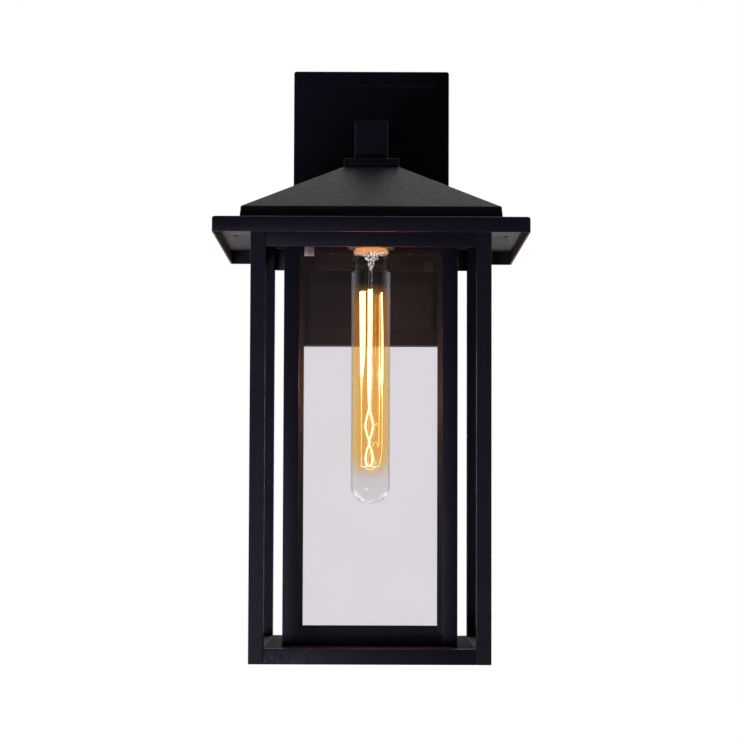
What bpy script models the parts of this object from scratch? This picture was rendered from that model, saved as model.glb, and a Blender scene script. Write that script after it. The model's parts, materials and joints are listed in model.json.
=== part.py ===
"""Outdoor wall lantern: square black cage, pyramid roof, clear glass box and one long tube bulb.

Metres, +Z up. The wall is the plane y = 0 and the lantern hangs in front of it, towards -Y.
The origin is the centre of the wall face of the mounting strap.
"""
import math

import bmesh
import bpy
from mathutils import Vector

MM = 0.001

# ---- fits ----------------------------------------------------------------------------
TOUCH_GAP = 0.3 * MM          # between faces that bear on each other
GLASS_GAP = 0.3 * MM          # round a pane in its frame
ROUND_STEPS = 20              # sides of a turned piece
CORNER_STEPS = 3              # segments in a rounded corner

# ---- wall plate ----------------------------------------------------------------------
PLATE_WIDTH = 129 * MM
PLATE_HEIGHT = 228.6 * MM
PLATE_DEPTH = 25 * MM
PLATE_SHEET = 1.5 * MM
PLATE_BORDER = 11 * MM
PANEL_RISE = 2 * MM           # the inner panel stands this far in front of its border
PANEL_RAMP = 3 * MM
PLATE_CORNER = 2 * MM
GASKET_THICK = 2 * MM
GASKET_BAND = 7 * MM
GASKET_INSET = 0.5 * MM       # the gasket stays this far inside the plate's outline
STRAP_HEIGHT = 24 * MM
STRAP_SHEET = 2 * MM
STRAP_CLEARANCE = 0.5 * MM    # from the gasket's inner edge
STRAP_EAR_DEPTH = 14 * MM
BOX_SCREW_SPACING = 70 * MM
BOX_SCREW_HOLE = 5 * MM
SIDE_SCREW_THREAD = 4 * MM
SCREW_CLEARANCE = 0.6 * MM
SIDE_SCREW_LENGTH = 9 * MM
SIDE_HEAD_WIDTH = 8 * MM
SIDE_HEAD_HEIGHT = 2.6 * MM
GROUND_HEAD_HEIGHT = 2.4 * MM
GROUND_INSET = 14 * MM        # from the box screw towards the middle
GROUND_RISE = 5 * MM

# ---- arm and hollow nipples ----------------------------------------------------------
ARM_SIDE = 25.4 * MM
ARM_WALL = 1.5 * MM
ARM_CORNER = 1.5 * MM
ARM_END_WALL = 3 * MM
ARM_LEG = 4.8 * MM            # upright length between the cap block and the elbow
WIRE_WIDTH = 2.2 * MM
LEAD_GAP = 1 * MM             # between the two leads inside a nipple
LEAD_CLEARANCE = 0.8 * MM     # from the leads to the nipple's bore
NIPPLE_WALL = 1.4 * MM
NIPPLE_CLEARANCE = 0.3 * MM   # all round a nipple in its hole
NIPPLE_IN_BOX = 9 * MM        # free length behind the wall plate's sheet
NIPPLE_PAST_WALL = 2 * MM
NUT_WALL = 1.8 * MM           # thinnest wall of a nut, at its flats
NUT_THICK = 4 * MM

# ---- roof ----------------------------------------------------------------------------
EAVE_WIDTH = 230 * MM
EAVE_TO_PLATE = 17.7 * MM
EAVE_TOP = -37.9 * MM
EAVE_SHEET = 1.2 * MM
LIP_HEIGHT = 11.3 * MM
EAVE_CORNER = 1.5 * MM
DRAIN_HOLE = 5 * MM
DRAIN_INSET = 11 * MM
ROOF_SETBACK = 18.7 * MM      # the roof's foot stands this far inside the eave's edge
ROOF_CORNER = 1.5 * MM
SKIRT_TAPER = 0.95 * MM
ROOF_SKIRT_HEIGHT = 9.4 * MM
ROOF_RISE = 40 * MM
ROOF_SHEET = 1.2 * MM
ROOF_FLANGE = 12 * MM
CAP_WIDTH = 42 * MM
CAP_HEIGHT = 6.3 * MM
CAP_CHAMFER = 0.8 * MM
CAP_CORNER = 1.2 * MM

# ---- outer cage ----------------------------------------------------------------------
CAGE_SETBACK = 26.7 * MM      # the cage stands this far inside the eave's edge
CAGE_HEIGHT = 322.2 * MM
POST_SIDE = 10.9 * MM
TOP_RAIL_HEIGHT = 17.7 * MM
TOP_RAIL_SHEET = 1.5 * MM
BOTTOM_RAIL_HEIGHT = 11.2 * MM
EDGE_SOFTENING = 0.5 * MM
FLOOR_SHEET = 1.5 * MM
FLOOR_LEDGE = 6 * MM
FLOOR_CORNER = 1 * MM
FLOOR_RIM = 12.95 * MM        # from the glass box's outside to the opening in the floor
OPENING_CORNER = 2 * MM

# ---- glass box -----------------------------------------------------------------------
BOX_SETBACK = 12.9 * MM       # free space between the cage's posts and the glass box
ANGLE_LEG = 11.4 * MM
ANGLE_SHEET = 1.5 * MM
LOW_RAIL_HEIGHT = 8.8 * MM
HIGH_RAIL_HEIGHT = 7.2 * MM
PANE_THICK = 2.5 * MM
CLIP_WIDTH = 8 * MM
CLIP_HEIGHT = 9 * MM
CLIP_SHEET = 1 * MM

# ---- socket and bulb -----------------------------------------------------------------
BRIDGE_TOP = 3.5 * MM
BRIDGE_SHEET = 1.5 * MM
BRIDGE_WIDTH = 22 * MM
BRIDGE_CLEARANCE = 5 * MM     # from the socket to each leg of the bridge
BRIDGE_FOOT = 14 * MM
BRIDGE_SCREW_THREAD = 4 * MM
BRIDGE_SCREW_END = 2 * MM     # free thread under the tray
BRIDGE_HEAD_WIDTH = 7.4 * MM
BRIDGE_HEAD_HEIGHT = 2.4 * MM
SOCKET_NECK_WIDTH = 20 * MM
SOCKET_CHAMFER = 1 * MM
SOCKET_THREAD = 5.5 * MM      # how far the nipple goes into the socket
SOCKET_CLEARANCE = 1 * MM     # all round the socket in the tray's hole
SOCKET_MOUTH = -49.5 * MM
SOCKET_TOP = -3 * MM
SOCKET_FLOOR = -15 * MM
SOCKET_WALL = 3.5 * MM
SOCKET_ROOF = 3 * MM
SHELL_SHEET = 0.6 * MM
SHELL_HOLE_WIDTH = 17 * MM
SHELL_CLEARANCE = 0.6 * MM    # between the bulb's thread and the shell
CONTACT_WIDTH = 11 * MM
CONTACT_SHEET = 0.8 * MM
CONTACT_TIP_WIDTH = 5.2 * MM
BASE_WIDTH = 26 * MM
BASE_LENGTH = 27.7 * MM
BASE_SHEET = 0.5 * MM
BASE_DROP = 4.3 * MM          # from the socket's floor to the bulb's contact
BASE_CONE = 5 * MM            # height of the insulator above the thread
THREAD_PITCH = 3.6 * MM
THREAD_DEPTH = 0.5 * MM
BULB_WIDTH = 30 * MM
BULB_TIP = -245.2 * MM
BULB_DOME = 13.3 * MM
BULB_GLASS_WALL = 0.8 * MM
BULB_NECK_SHOWS = 3 * MM      # neck between the rim of the base and the shoulder
BULB_SHOULDER = 6 * MM
GLASS_IN_BASE = 7.7 * MM      # from the bulb's contact down to the top of the glass
STEM_BELOW_SHOULDER = 10 * MM
STEM_WIDTH = 7.6 * MM
STEM_CROWN_WIDTH = 11.6 * MM
LEAD_LENGTH = 15 * MM
FILAMENT_FOOT = 28.2 * MM     # from the tip up to the lowest bend
FILAMENT_WIDTH = 0.8 * MM

# ---- places that follow from the sizes -----------------------------------------------
ROOF_WIDTH = EAVE_WIDTH - 2 * ROOF_SETBACK
ROOF_SKIRT_TOP_WIDTH = ROOF_WIDTH - 2 * SKIRT_TAPER
CAGE_WIDTH = EAVE_WIDTH - 2 * CAGE_SETBACK
HALF_CAGE = CAGE_WIDTH / 2
BOX_WIDTH = CAGE_WIDTH - 2 * (POST_SIDE + BOX_SETBACK)
HALF_BOX = BOX_WIDTH / 2
FLOOR_OPENING = BOX_WIDTH - 2 * FLOOR_RIM
AXIS_Y = -(PLATE_DEPTH + EAVE_TO_PLATE + EAVE_WIDTH / 2)
EAVE_UNDER = EAVE_TOP - EAVE_SHEET
CAGE_TOP = EAVE_UNDER - TOUCH_GAP
CAGE_BOTTOM = CAGE_TOP - CAGE_HEIGHT
ROOF_BOTTOM = EAVE_TOP + TOUCH_GAP
ROOF_SHOULDER = ROOF_BOTTOM + ROOF_SKIRT_HEIGHT
ROOF_TOP = ROOF_SHOULDER + ROOF_RISE
CAP_BOTTOM = ROOF_TOP + TOUCH_GAP
CAP_TOP = CAP_BOTTOM + CAP_HEIGHT
ARM_Z = CAP_TOP + ARM_LEG + ARM_SIDE / 2
LEAD_X = (WIRE_WIDTH + LEAD_GAP) / 2
NIPPLE_BORE = 2 * (LEAD_X + WIRE_WIDTH / 2 + LEAD_CLEARANCE)
NIPPLE_OUTER = NIPPLE_BORE + 2 * NIPPLE_WALL
NIPPLE_HOLE = NIPPLE_OUTER + 2 * NIPPLE_CLEARANCE
NUT_FLATS = NIPPLE_HOLE + 2 * NUT_WALL
FLOOR_TOP = CAGE_BOTTOM + BOTTOM_RAIL_HEIGHT
PANE_INSET = ANGLE_SHEET + GLASS_GAP
SOCKET_WIDTH = BASE_WIDTH + 2 * (SHELL_CLEARANCE + SHELL_SHEET + TOUCH_GAP + SOCKET_WALL)
BRIDGE_INSIDE = SOCKET_WIDTH + 2 * BRIDGE_CLEARANCE
NECK_WIDTH = BASE_WIDTH - 2 * (THREAD_DEPTH + BASE_SHEET + TOUCH_GAP)
BASE_TOP = SOCKET_FLOOR - BASE_DROP
BASE_RIM = BASE_TOP - BASE_LENGTH
GLASS_TOP = BASE_TOP - GLASS_IN_BASE
NECK_LOW = BASE_RIM - BULB_NECK_SHOWS
SHOULDER_LOW = NECK_LOW - BULB_SHOULDER
STEM_END = SHOULDER_LOW - STEM_BELOW_SHOULDER


# ---- making solids -------------------------------------------------------------------
def clear_scene():
    for thing in list(bpy.data.objects):
        bpy.data.objects.remove(thing, do_unlink=True)


def finish(name, colour, roughness, metallic):
    material = bpy.data.materials.new(name)
    material.use_nodes = True
    shader = material.node_tree.nodes["Principled BSDF"]
    shader.inputs["Base Color"].default_value = (*colour, 1)
    shader.inputs["Roughness"].default_value = roughness
    shader.inputs["Metallic"].default_value = metallic
    return material


def solid(name, rings, material, looped=False, smooth_angle=40):
    """Skin a list of rings, each a list of points; a ring of one point closes an end."""
    mesh = bpy.data.meshes.new(name)
    shape = bmesh.new()
    made = [[shape.verts.new(point) for point in ring] for ring in rings]
    pairs = list(zip(made, made[1:]))
    if looped:
        pairs.append((made[-1], made[0]))
    for low, high in pairs:
        count = max(len(low), len(high))
        for i in range(count):
            j = (i + 1) % count
            a, b = low[i % len(low)], low[j % len(low)]
            c, d = high[j % len(high)], high[i % len(high)]
            shape.faces.new(list(dict.fromkeys((a, b, c, d))))
    if not looped:
        for end in (made[0], made[-1]):
            if len(end) > 2:
                shape.faces.new(end)
    bmesh.ops.recalc_face_normals(shape, faces=shape.faces)
    shape.to_mesh(mesh)
    shape.free()
    mesh.shade_smooth()
    mesh.set_sharp_from_angle(angle=math.radians(smooth_angle))
    mesh.materials.append(material)
    thing = bpy.data.objects.new(name, mesh)
    bpy.context.scene.collection.objects.link(thing)
    return thing


def rectangle(width, depth, radius):
    """Rounded rectangle about the origin, four corners of CORNER_STEPS + 1 points."""
    points = []
    for corner in range(4):
        side_x = (1, -1, -1, 1)[corner]
        side_y = (1, 1, -1, -1)[corner]
        centre = Vector((side_x * (width / 2 - radius), side_y * (depth / 2 - radius)))
        for step in range(CORNER_STEPS + 1):
            angle = math.pi / 2 * (corner + step / CORNER_STEPS)
            points.append(centre + radius * Vector((math.cos(angle), math.sin(angle))))
    return points


def circle(diameter, count=4 * (CORNER_STEPS + 1)):
    """Circle whose points pair with those of rectangle()."""
    points = []
    for step in range(count):
        angle = 2 * math.pi * (step + 0.5) / count
        points.append(diameter / 2 * Vector((math.cos(angle), math.sin(angle))))
    return points


def level(outline, z, x=0.0, y=AXIS_Y):
    """An outline laid flat at height z about the lantern's axis."""
    return [Vector((x + point.x, y + point.y, z)) for point in outline]


def upright(outline, y, z=0.0, x=0.0):
    """An outline stood up across the Y axis."""
    return [Vector((x + point.x, y, z + point.y)) for point in outline]


def block(name, low, high, material, softening=EDGE_SOFTENING):
    outline = [(low[0], low[1]), (high[0], low[1]), (high[0], high[1]), (low[0], high[1])]
    rings = [[(x, y, z) for x, y in outline] for z in (low[2], high[2])]
    thing = solid(name, rings, material)
    if softening:
        bevel = thing.modifiers.new("Soft edges", "BEVEL")
        bevel.width = softening
        bevel.segments = 2
        bevel.limit_method = "ANGLE"
    return thing


def turned(name, profile, centre, material, axis="Z", looped=False):
    """Turn (radius, height) points about an axis; radius 0 closes an end."""
    rings = []
    for radius, height in profile:
        ring = []
        for step in range(ROUND_STEPS if radius > 0 else 1):
            angle = 2 * math.pi * step / ROUND_STEPS
            across = Vector((radius * math.cos(angle), radius * math.sin(angle), height))
            if axis == "Y":
                across = Vector((across.x, across.z, across.y))
            if axis == "X":
                across = Vector((across.z, across.x, across.y))
            ring.append(Vector(centre) + across)
        rings.append(ring)
    return solid(name, rings, material, looped=looped)


def pipe(name, outer, bore, start, end, material):
    """Hollow round pipe between two points on one axis."""
    along = Vector(end) - Vector(start)
    axis = "XYZ"[max(range(3), key=lambda i: abs(along[i]))]
    length = max(along, key=abs)
    profile = [(outer / 2, 0), (outer / 2, length), (bore / 2, length), (bore / 2, 0)]
    return turned(name, profile, start, material, axis=axis, looped=True)


def drill(thing, start, end, diameter):
    """Cut a round hole from start to end, along X, Y or Z."""
    along = Vector(end) - Vector(start)
    axis = "XYZ"[max(range(3), key=lambda i: abs(along[i]))]
    length = max(along, key=abs)
    profile = [(0, 0), (diameter / 2, 0), (diameter / 2, length), (0, length)]
    cutter = turned(thing.name + "_drill", profile, start, thing.data.materials[0], axis=axis)
    cutter.hide_render = True
    cutter.display_type = "WIRE"
    hole = thing.modifiers.new("Hole", "BOOLEAN")
    hole.operation = "DIFFERENCE"
    hole.object = cutter


def hex_nut(name, centre, axis, flats, thick, bore, material):
    """Nut with six flats, its near face at centre and its body towards +axis."""
    outer = []
    inner = []
    sides = 12
    for step in range(sides):
        angle = 2 * math.pi * step / sides
        from_flat = (angle + math.pi / 6) % (math.pi / 3) - math.pi / 6
        outer.append((flats / 2 / math.cos(from_flat), angle))
        inner.append((bore / 2, angle))
    rings = []
    for outline, height in ((outer, 0), (outer, thick), (inner, thick), (inner, 0)):
        ring = []
        for radius, angle in outline:
            across = (radius * math.cos(angle), radius * math.sin(angle))
            point = (across[0], height, across[1]) if axis == "Y" else (*across, height)
            ring.append(Vector(centre) + Vector(point))
        rings.append(ring)
    return solid(name, rings, material, looped=True)


def screw(name, seat, direction, thread, length, head_width, head_height, material):
    """Pan-head screw: head outside the seat, shank along direction (a signed axis letter)."""
    sign = -1 if direction[0] == "-" else 1
    axis = direction[-1]
    profile = [
        (0, -sign * head_height), (head_width * 0.34, -sign * head_height),
        (head_width / 2, -sign * head_height * 0.45), (head_width / 2, 0),
        (thread / 2, 0), (thread / 2, sign * length), (0, sign * length),
    ]
    return turned(name, profile, seat, material, axis=axis)


def smooth_route(corners, radius, steps=6):
    """Polyline through corners with each bend rounded by an arc-like curve."""
    corners = [Vector(corner) for corner in corners]
    route = [corners[0]]
    for before, here, after in zip(corners, corners[1:], corners[2:]):
        reach = min(radius, (before - here).length * 0.45, (after - here).length * 0.45)
        start = here + (before - here).normalized() * reach
        end = here + (after - here).normalized() * reach
        for step in range(steps + 1):
            t = step / steps
            route.append(start * (1 - t) ** 2 + here * 2 * t * (1 - t) + end * t ** 2)
    route.append(corners[-1])
    return route


def wire(name, route, width, material, fineness=1):
    """Round wire along a polyline."""
    curve = bpy.data.curves.new(name, "CURVE")
    curve.dimensions = "3D"
    curve.bevel_depth = width / 2
    curve.bevel_resolution = fineness
    curve.use_fill_caps = True
    curve.materials.append(material)
    spline = curve.splines.new("POLY")
    spline.points.add(len(route) - 1)
    for point, place in zip(spline.points, route):
        point.co = (*place, 1)
    thing = bpy.data.objects.new(name, curve)
    bpy.context.scene.collection.objects.link(thing)
    return thing


# ---- wall side -----------------------------------------------------------------------
def make_backplate(paint):
    """Pressed pan with a flat border, a short ramp and a proud inner panel."""
    back = -GASKET_THICK - TOUCH_GAP
    border = -PLATE_DEPTH + PANEL_RISE
    panel_w = PLATE_WIDTH - 2 * PLATE_BORDER
    panel_h = PLATE_HEIGHT - 2 * PLATE_BORDER
    hole = circle(NIPPLE_HOLE)
    wall = PLATE_SHEET
    bend = PLATE_CORNER

    def pan(width, height, y, radius=PLATE_CORNER):
        return upright(rectangle(width, height, radius), y)

    thin = 2 * wall
    ramp = 2 * PANEL_RAMP
    rings = [
        pan(PLATE_WIDTH, PLATE_HEIGHT, back),
        pan(PLATE_WIDTH, PLATE_HEIGHT, border + bend / 2),
        pan(PLATE_WIDTH - bend / 2, PLATE_HEIGHT - bend / 2, border + bend / 8),
        pan(PLATE_WIDTH - bend * 1.5, PLATE_HEIGHT - bend * 1.5, border),
        pan(panel_w, panel_h, border),
        pan(panel_w - ramp * 0.5, panel_h - ramp * 0.5, border - PANEL_RISE * 0.7),
        pan(panel_w - ramp, panel_h - ramp, -PLATE_DEPTH),
        upright(hole, -PLATE_DEPTH, ARM_Z),
        upright(hole, -PLATE_DEPTH + wall, ARM_Z),
        pan(panel_w - ramp, panel_h - ramp, -PLATE_DEPTH + wall),
        pan(panel_w, panel_h, border + wall),
        pan(PLATE_WIDTH - thin, PLATE_HEIGHT - thin, border + wall, PLATE_CORNER / 2),
        pan(PLATE_WIDTH - thin, PLATE_HEIGHT - thin, back, PLATE_CORNER / 2),
    ]
    plate = solid("backplate", rings, paint, looped=True, smooth_angle=50)
    reach = PLATE_WIDTH / 2 + wall
    hole_width = SIDE_SCREW_THREAD + SCREW_CLEARANCE
    y = ear_screw_y()
    drill(plate, (-reach, y, 0), (-reach + 3 * wall, y, 0), hole_width)
    drill(plate, (reach - 3 * wall, y, 0), (reach, y, 0), hole_width)
    return plate


def ear_screw_y():
    """Depth of the side screws, mid-way along the free part of the strap's ears."""
    return -(GASKET_THICK + TOUCH_GAP + STRAP_SHEET + STRAP_EAR_DEPTH) / 2


def make_gasket(foam):
    outer_w = PLATE_WIDTH - 2 * GASKET_INSET
    outer_h = PLATE_HEIGHT - 2 * GASKET_INSET
    inner_w = outer_w - 2 * GASKET_BAND
    inner_h = outer_h - 2 * GASKET_BAND
    rings = [
        upright(rectangle(outer_w, outer_h, PLATE_CORNER), 0),
        upright(rectangle(outer_w, outer_h, PLATE_CORNER), -GASKET_THICK),
        upright(rectangle(inner_w, inner_h, PLATE_CORNER), -GASKET_THICK),
        upright(rectangle(inner_w, inner_h, PLATE_CORNER), 0),
    ]
    return solid("wall_gasket", rings, foam, looped=True)


def make_strap(zinc):
    """Joggled strap: flat on the wall, stepped over the gasket, ears along the plate's sides."""
    step = GASKET_THICK + TOUCH_GAP
    sheet = STRAP_SHEET
    far = PLATE_WIDTH / 2 - PLATE_SHEET - TOUCH_GAP
    flat = PLATE_WIDTH / 2 - GASKET_INSET - GASKET_BAND - STRAP_CLEARANCE
    right = [
        (flat, 0), (flat, -step), (far, -step), (far, -STRAP_EAR_DEPTH),
        (far - sheet, -STRAP_EAR_DEPTH), (far - sheet, -step - sheet),
        (flat - sheet, -step - sheet), (flat - sheet, -sheet),
    ]
    outline = right + [(-x, y) for x, y in reversed(right)]
    rings = [[(x, y, z) for x, y in outline] for z in (-STRAP_HEIGHT / 2, STRAP_HEIGHT / 2)]
    strap = solid("mounting_strap", rings, zinc)
    for side in (-1, 1):
        x = side * BOX_SCREW_SPACING / 2
        drill(strap, (x, MM, 0), (x, -2 * sheet, 0), BOX_SCREW_HOLE)
        ear = side * far
        start, end = sorted((ear - side * 2 * sheet, ear + side * sheet))
        y = ear_screw_y()
        drill(strap, (start, y, 0), (end, y, 0), SIDE_SCREW_THREAD + SCREW_CLEARANCE)
    x, z = ground_place()
    drill(strap, (x, MM, z), (x, -2 * sheet, z), SIDE_SCREW_THREAD + SCREW_CLEARANCE)
    return strap


def ground_place():
    """Where the earth screw goes into the strap, as x and z."""
    return BOX_SCREW_SPACING / 2 - GROUND_INSET, GROUND_RISE


def make_wall_screws(steel, green):
    y = ear_screw_y()
    seat = PLATE_WIDTH / 2 + TOUCH_GAP
    for name, side, direction in (("left", -1, "X"), ("right", 1, "-X")):
        screw("backplate_screw_" + name, (side * seat, y, 0), direction, SIDE_SCREW_THREAD,
              SIDE_SCREW_LENGTH, SIDE_HEAD_WIDTH, SIDE_HEAD_HEIGHT, steel)
    x, z = ground_place()
    screw("ground_screw", (x, -STRAP_SHEET - TOUCH_GAP, z), "Y", SIDE_SCREW_THREAD,
          STRAP_SHEET, SIDE_HEAD_WIDTH, GROUND_HEAD_HEIGHT, green)


# ---- arm -----------------------------------------------------------------------------
def make_arm(paint):
    """Square tube out of the plate, one mitred elbow and a short leg onto the cap block."""
    start = -PLATE_DEPTH - TOUCH_GAP
    end = CAP_TOP + TOUCH_GAP
    bore = ARM_SIDE - 2 * ARM_WALL
    hole = circle(NIPPLE_HOLE)

    def across(outline, y):
        return [Vector((p.x, y, ARM_Z + p.y)) for p in outline]

    def elbow(outline):
        return [Vector((p.x, AXIS_Y - p.y, ARM_Z + p.y)) for p in outline]

    def down(outline, z):
        return [Vector((p.x, AXIS_Y - p.y, z)) for p in outline]

    outer = rectangle(ARM_SIDE, ARM_SIDE, ARM_CORNER)
    inner = rectangle(bore, bore, ARM_CORNER / 2)
    rings = [
        across(outer, start),
        elbow(outer),
        down(outer, end),
        down(hole, end),
        down(hole, end + ARM_END_WALL),
        down(inner, end + ARM_END_WALL),
        elbow(inner),
        across(inner, start - ARM_END_WALL),
        across(hole, start - ARM_END_WALL),
        across(hole, start),
    ]
    return solid("arm", rings, paint, looped=True)


def make_arm_fixings(steel):
    plate_inside = -PLATE_DEPTH + PLATE_SHEET
    end_wall = -PLATE_DEPTH - TOUCH_GAP - ARM_END_WALL
    pipe("arm_nipple", NIPPLE_OUTER, NIPPLE_BORE, (0, plate_inside + NIPPLE_IN_BOX, ARM_Z),
         (0, end_wall - NIPPLE_PAST_WALL, ARM_Z), steel)
    hex_nut("arm_nut", (0, plate_inside + TOUCH_GAP, ARM_Z), "Y", NUT_FLATS, NUT_THICK,
            NIPPLE_HOLE, steel)


# ---- roof ----------------------------------------------------------------------------
def make_cap_block(paint):
    cut = CAP_CHAMFER
    hole = circle(NIPPLE_HOLE)
    square = rectangle(CAP_WIDTH, CAP_WIDTH, CAP_CORNER)
    small = rectangle(CAP_WIDTH - 2 * cut, CAP_WIDTH - 2 * cut, CAP_CORNER)
    rings = [
        level(small, CAP_BOTTOM), level(square, CAP_BOTTOM + cut / 2),
        level(square, CAP_TOP - cut), level(small, CAP_TOP),
        level(hole, CAP_TOP), level(hole, CAP_BOTTOM),
    ]
    return solid("cap_block", rings, paint, looped=True)


def make_roof(paint):
    """Four-sided sheet roof: turned-in foot, upright skirt, slopes and a flat top."""
    thin = 2 * ROOF_SHEET
    slope = math.atan2(ROOF_RISE, (ROOF_SKIRT_TOP_WIDTH - CAP_WIDTH) / 2)
    inside_drop = ROOF_SHEET / math.cos(slope)
    flange = ROOF_WIDTH - 2 * ROOF_FLANGE
    hole = circle(NIPPLE_HOLE)

    def square(width, z):
        return level(rectangle(width, width, ROOF_CORNER), z)

    rings = [
        square(ROOF_WIDTH, ROOF_BOTTOM),
        square(ROOF_SKIRT_TOP_WIDTH, ROOF_SHOULDER),
        square(CAP_WIDTH, ROOF_TOP),
        level(hole, ROOF_TOP),
        level(hole, ROOF_TOP - ROOF_SHEET),
        square(CAP_WIDTH - thin * 0.4, ROOF_TOP - ROOF_SHEET),
        square(ROOF_SKIRT_TOP_WIDTH - thin, ROOF_SHOULDER - inside_drop + ROOF_SHEET / 2),
        square(ROOF_WIDTH - thin, ROOF_BOTTOM + ROOF_SHEET),
        square(flange, ROOF_BOTTOM + ROOF_SHEET),
        square(flange, ROOF_BOTTOM),
    ]
    return solid("roof", rings, paint, looped=True)


def make_eave_tray(paint):
    """Flat sheet with lips turned down all round and a round hole for the socket."""
    lip_bottom = EAVE_TOP - LIP_HEIGHT
    thin = 2 * EAVE_SHEET
    bend = EAVE_CORNER
    hole = circle(SOCKET_WIDTH + 2 * SOCKET_CLEARANCE)

    def square(width, z, radius=EAVE_CORNER):
        return level(rectangle(width, width, radius), z)

    rings = [
        square(EAVE_WIDTH, lip_bottom),
        square(EAVE_WIDTH, EAVE_TOP - bend),
        square(EAVE_WIDTH - bend * 0.6, EAVE_TOP - bend * 0.3),
        square(EAVE_WIDTH - bend * 2, EAVE_TOP),
        level(hole, EAVE_TOP),
        level(hole, EAVE_UNDER),
        square(EAVE_WIDTH - thin, EAVE_UNDER, EAVE_CORNER / 2),
        square(EAVE_WIDTH - thin, lip_bottom, EAVE_CORNER / 2),
    ]
    tray = solid("eave_tray", rings, paint, looped=True, smooth_angle=50)
    above = EAVE_TOP + MM
    below = EAVE_UNDER - MM
    for side in (-1, 1):
        x = side * (EAVE_WIDTH / 2 - DRAIN_INSET)
        drill(tray, (x, AXIS_Y, below), (x, AXIS_Y, above), DRAIN_HOLE)
        x = side * bridge_screw_x()
        drill(tray, (x, AXIS_Y, below), (x, AXIS_Y, above), BRIDGE_SCREW_THREAD + SCREW_CLEARANCE)
    return tray


# ---- outer cage ----------------------------------------------------------------------
def corners():
    """The four corners of the cage: name and signs of x and y."""
    return [(depth + side, x, y) for depth, y in (("front", -1), ("back", 1))
            for side, x in (("_left", -1), ("_right", 1))]


def walls():
    """The four sides of the cage: name and outward direction."""
    return (("front", 0, -1), ("back", 0, 1), ("left", -1, 0), ("right", 1, 0))


def make_outer_posts(paint):
    for name, sx, sy in corners():
        x = sorted((sx * HALF_CAGE, sx * (HALF_CAGE - POST_SIDE)))
        y = sorted((AXIS_Y + sy * HALF_CAGE, AXIS_Y + sy * (HALF_CAGE - POST_SIDE)))
        block("outer_post_" + name, (x[0], y[0], CAGE_BOTTOM), (x[1], y[1], CAGE_TOP), paint)


def side_box(out_x, out_y, half, depth, length, low, high):
    """Corners of a bar on one side of a square of half-width half."""
    if out_x:
        x = sorted((out_x * half, out_x * (half - depth)))
        y = (AXIS_Y - length / 2, AXIS_Y + length / 2)
    else:
        x = (-length / 2, length / 2)
        y = sorted((AXIS_Y + out_y * half, AXIS_Y + out_y * (half - depth)))
    return (x[0], y[0], low), (x[1], y[1], high)


def make_cage_rails(paint):
    length = CAGE_WIDTH - 2 * POST_SIDE - 2 * TOUCH_GAP
    for name, out_x, out_y in walls():
        low, high = side_box(out_x, out_y, HALF_CAGE, TOP_RAIL_SHEET, length,
                             CAGE_TOP - TOP_RAIL_HEIGHT, CAGE_TOP)
        block("top_rail_" + name, low, high, paint, softening=0)
        make_bottom_rail(name, out_x, out_y, length, paint)


def make_bottom_rail(name, out_x, out_y, length, paint):
    """Bar with a ledge low on its inner face that carries the floor."""
    ledge_top = FLOOR_TOP - FLOOR_SHEET - TOUCH_GAP
    ledge_low = ledge_top - FLOOR_SHEET
    inner = HALF_CAGE - POST_SIDE
    soft = EDGE_SOFTENING
    section = [
        (HALF_CAGE - soft, CAGE_BOTTOM), (HALF_CAGE, CAGE_BOTTOM + soft),
        (HALF_CAGE, FLOOR_TOP - soft), (HALF_CAGE - soft, FLOOR_TOP), (inner, FLOOR_TOP),
        (inner, ledge_top), (inner - FLOOR_LEDGE, ledge_top), (inner - FLOOR_LEDGE, ledge_low),
        (inner, ledge_low), (inner, CAGE_BOTTOM),
    ]
    rings = []
    for end in (-1, 1):
        ring = []
        for out, z in section:
            along = end * (length / 2 - max(0, inner - out))
            point = (out_x * out, AXIS_Y + along, z) if out_x else (along, AXIS_Y + out_y * out, z)
            ring.append(point)
        rings.append(ring)
    return solid("bottom_rail_" + name, rings, paint)


def make_floor(paint):
    """Square floor with a square way in for the bulb."""
    width = CAGE_WIDTH - 2 * POST_SIDE - 2 * TOUCH_GAP
    outer = rectangle(width, width, FLOOR_CORNER)
    inner = rectangle(FLOOR_OPENING, FLOOR_OPENING, OPENING_CORNER)
    low = FLOOR_TOP - FLOOR_SHEET
    rings = [level(outer, low), level(outer, FLOOR_TOP), level(inner, FLOOR_TOP), level(inner, low)]
    return solid("bottom_plate", rings, paint, looped=True)


# ---- glass box -----------------------------------------------------------------------
def make_inner_posts(paint):
    """Angle posts: two thin legs with a rounded outer corner."""
    low = FLOOR_TOP + TOUCH_GAP
    bend = ANGLE_SHEET * 0.8
    for name, sx, sy in corners():
        arc = []
        for step in range(CORNER_STEPS + 1):
            angle = math.pi / 2 * step / CORNER_STEPS
            arc.append((bend * (1 - math.sin(angle)), bend * (1 - math.cos(angle))))
        outline = [(ANGLE_LEG, ANGLE_SHEET), (ANGLE_LEG, 0)] + arc
        outline += [(0, ANGLE_LEG), (ANGLE_SHEET, ANGLE_LEG), (ANGLE_SHEET, ANGLE_SHEET)]
        places = [(sx * (HALF_BOX - a), AXIS_Y + sy * (HALF_BOX - b)) for a, b in outline]
        rings = [[(x, y, z) for x, y in places] for z in (low, CAGE_TOP)]
        solid("inner_post_" + name, rings, paint)


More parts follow.
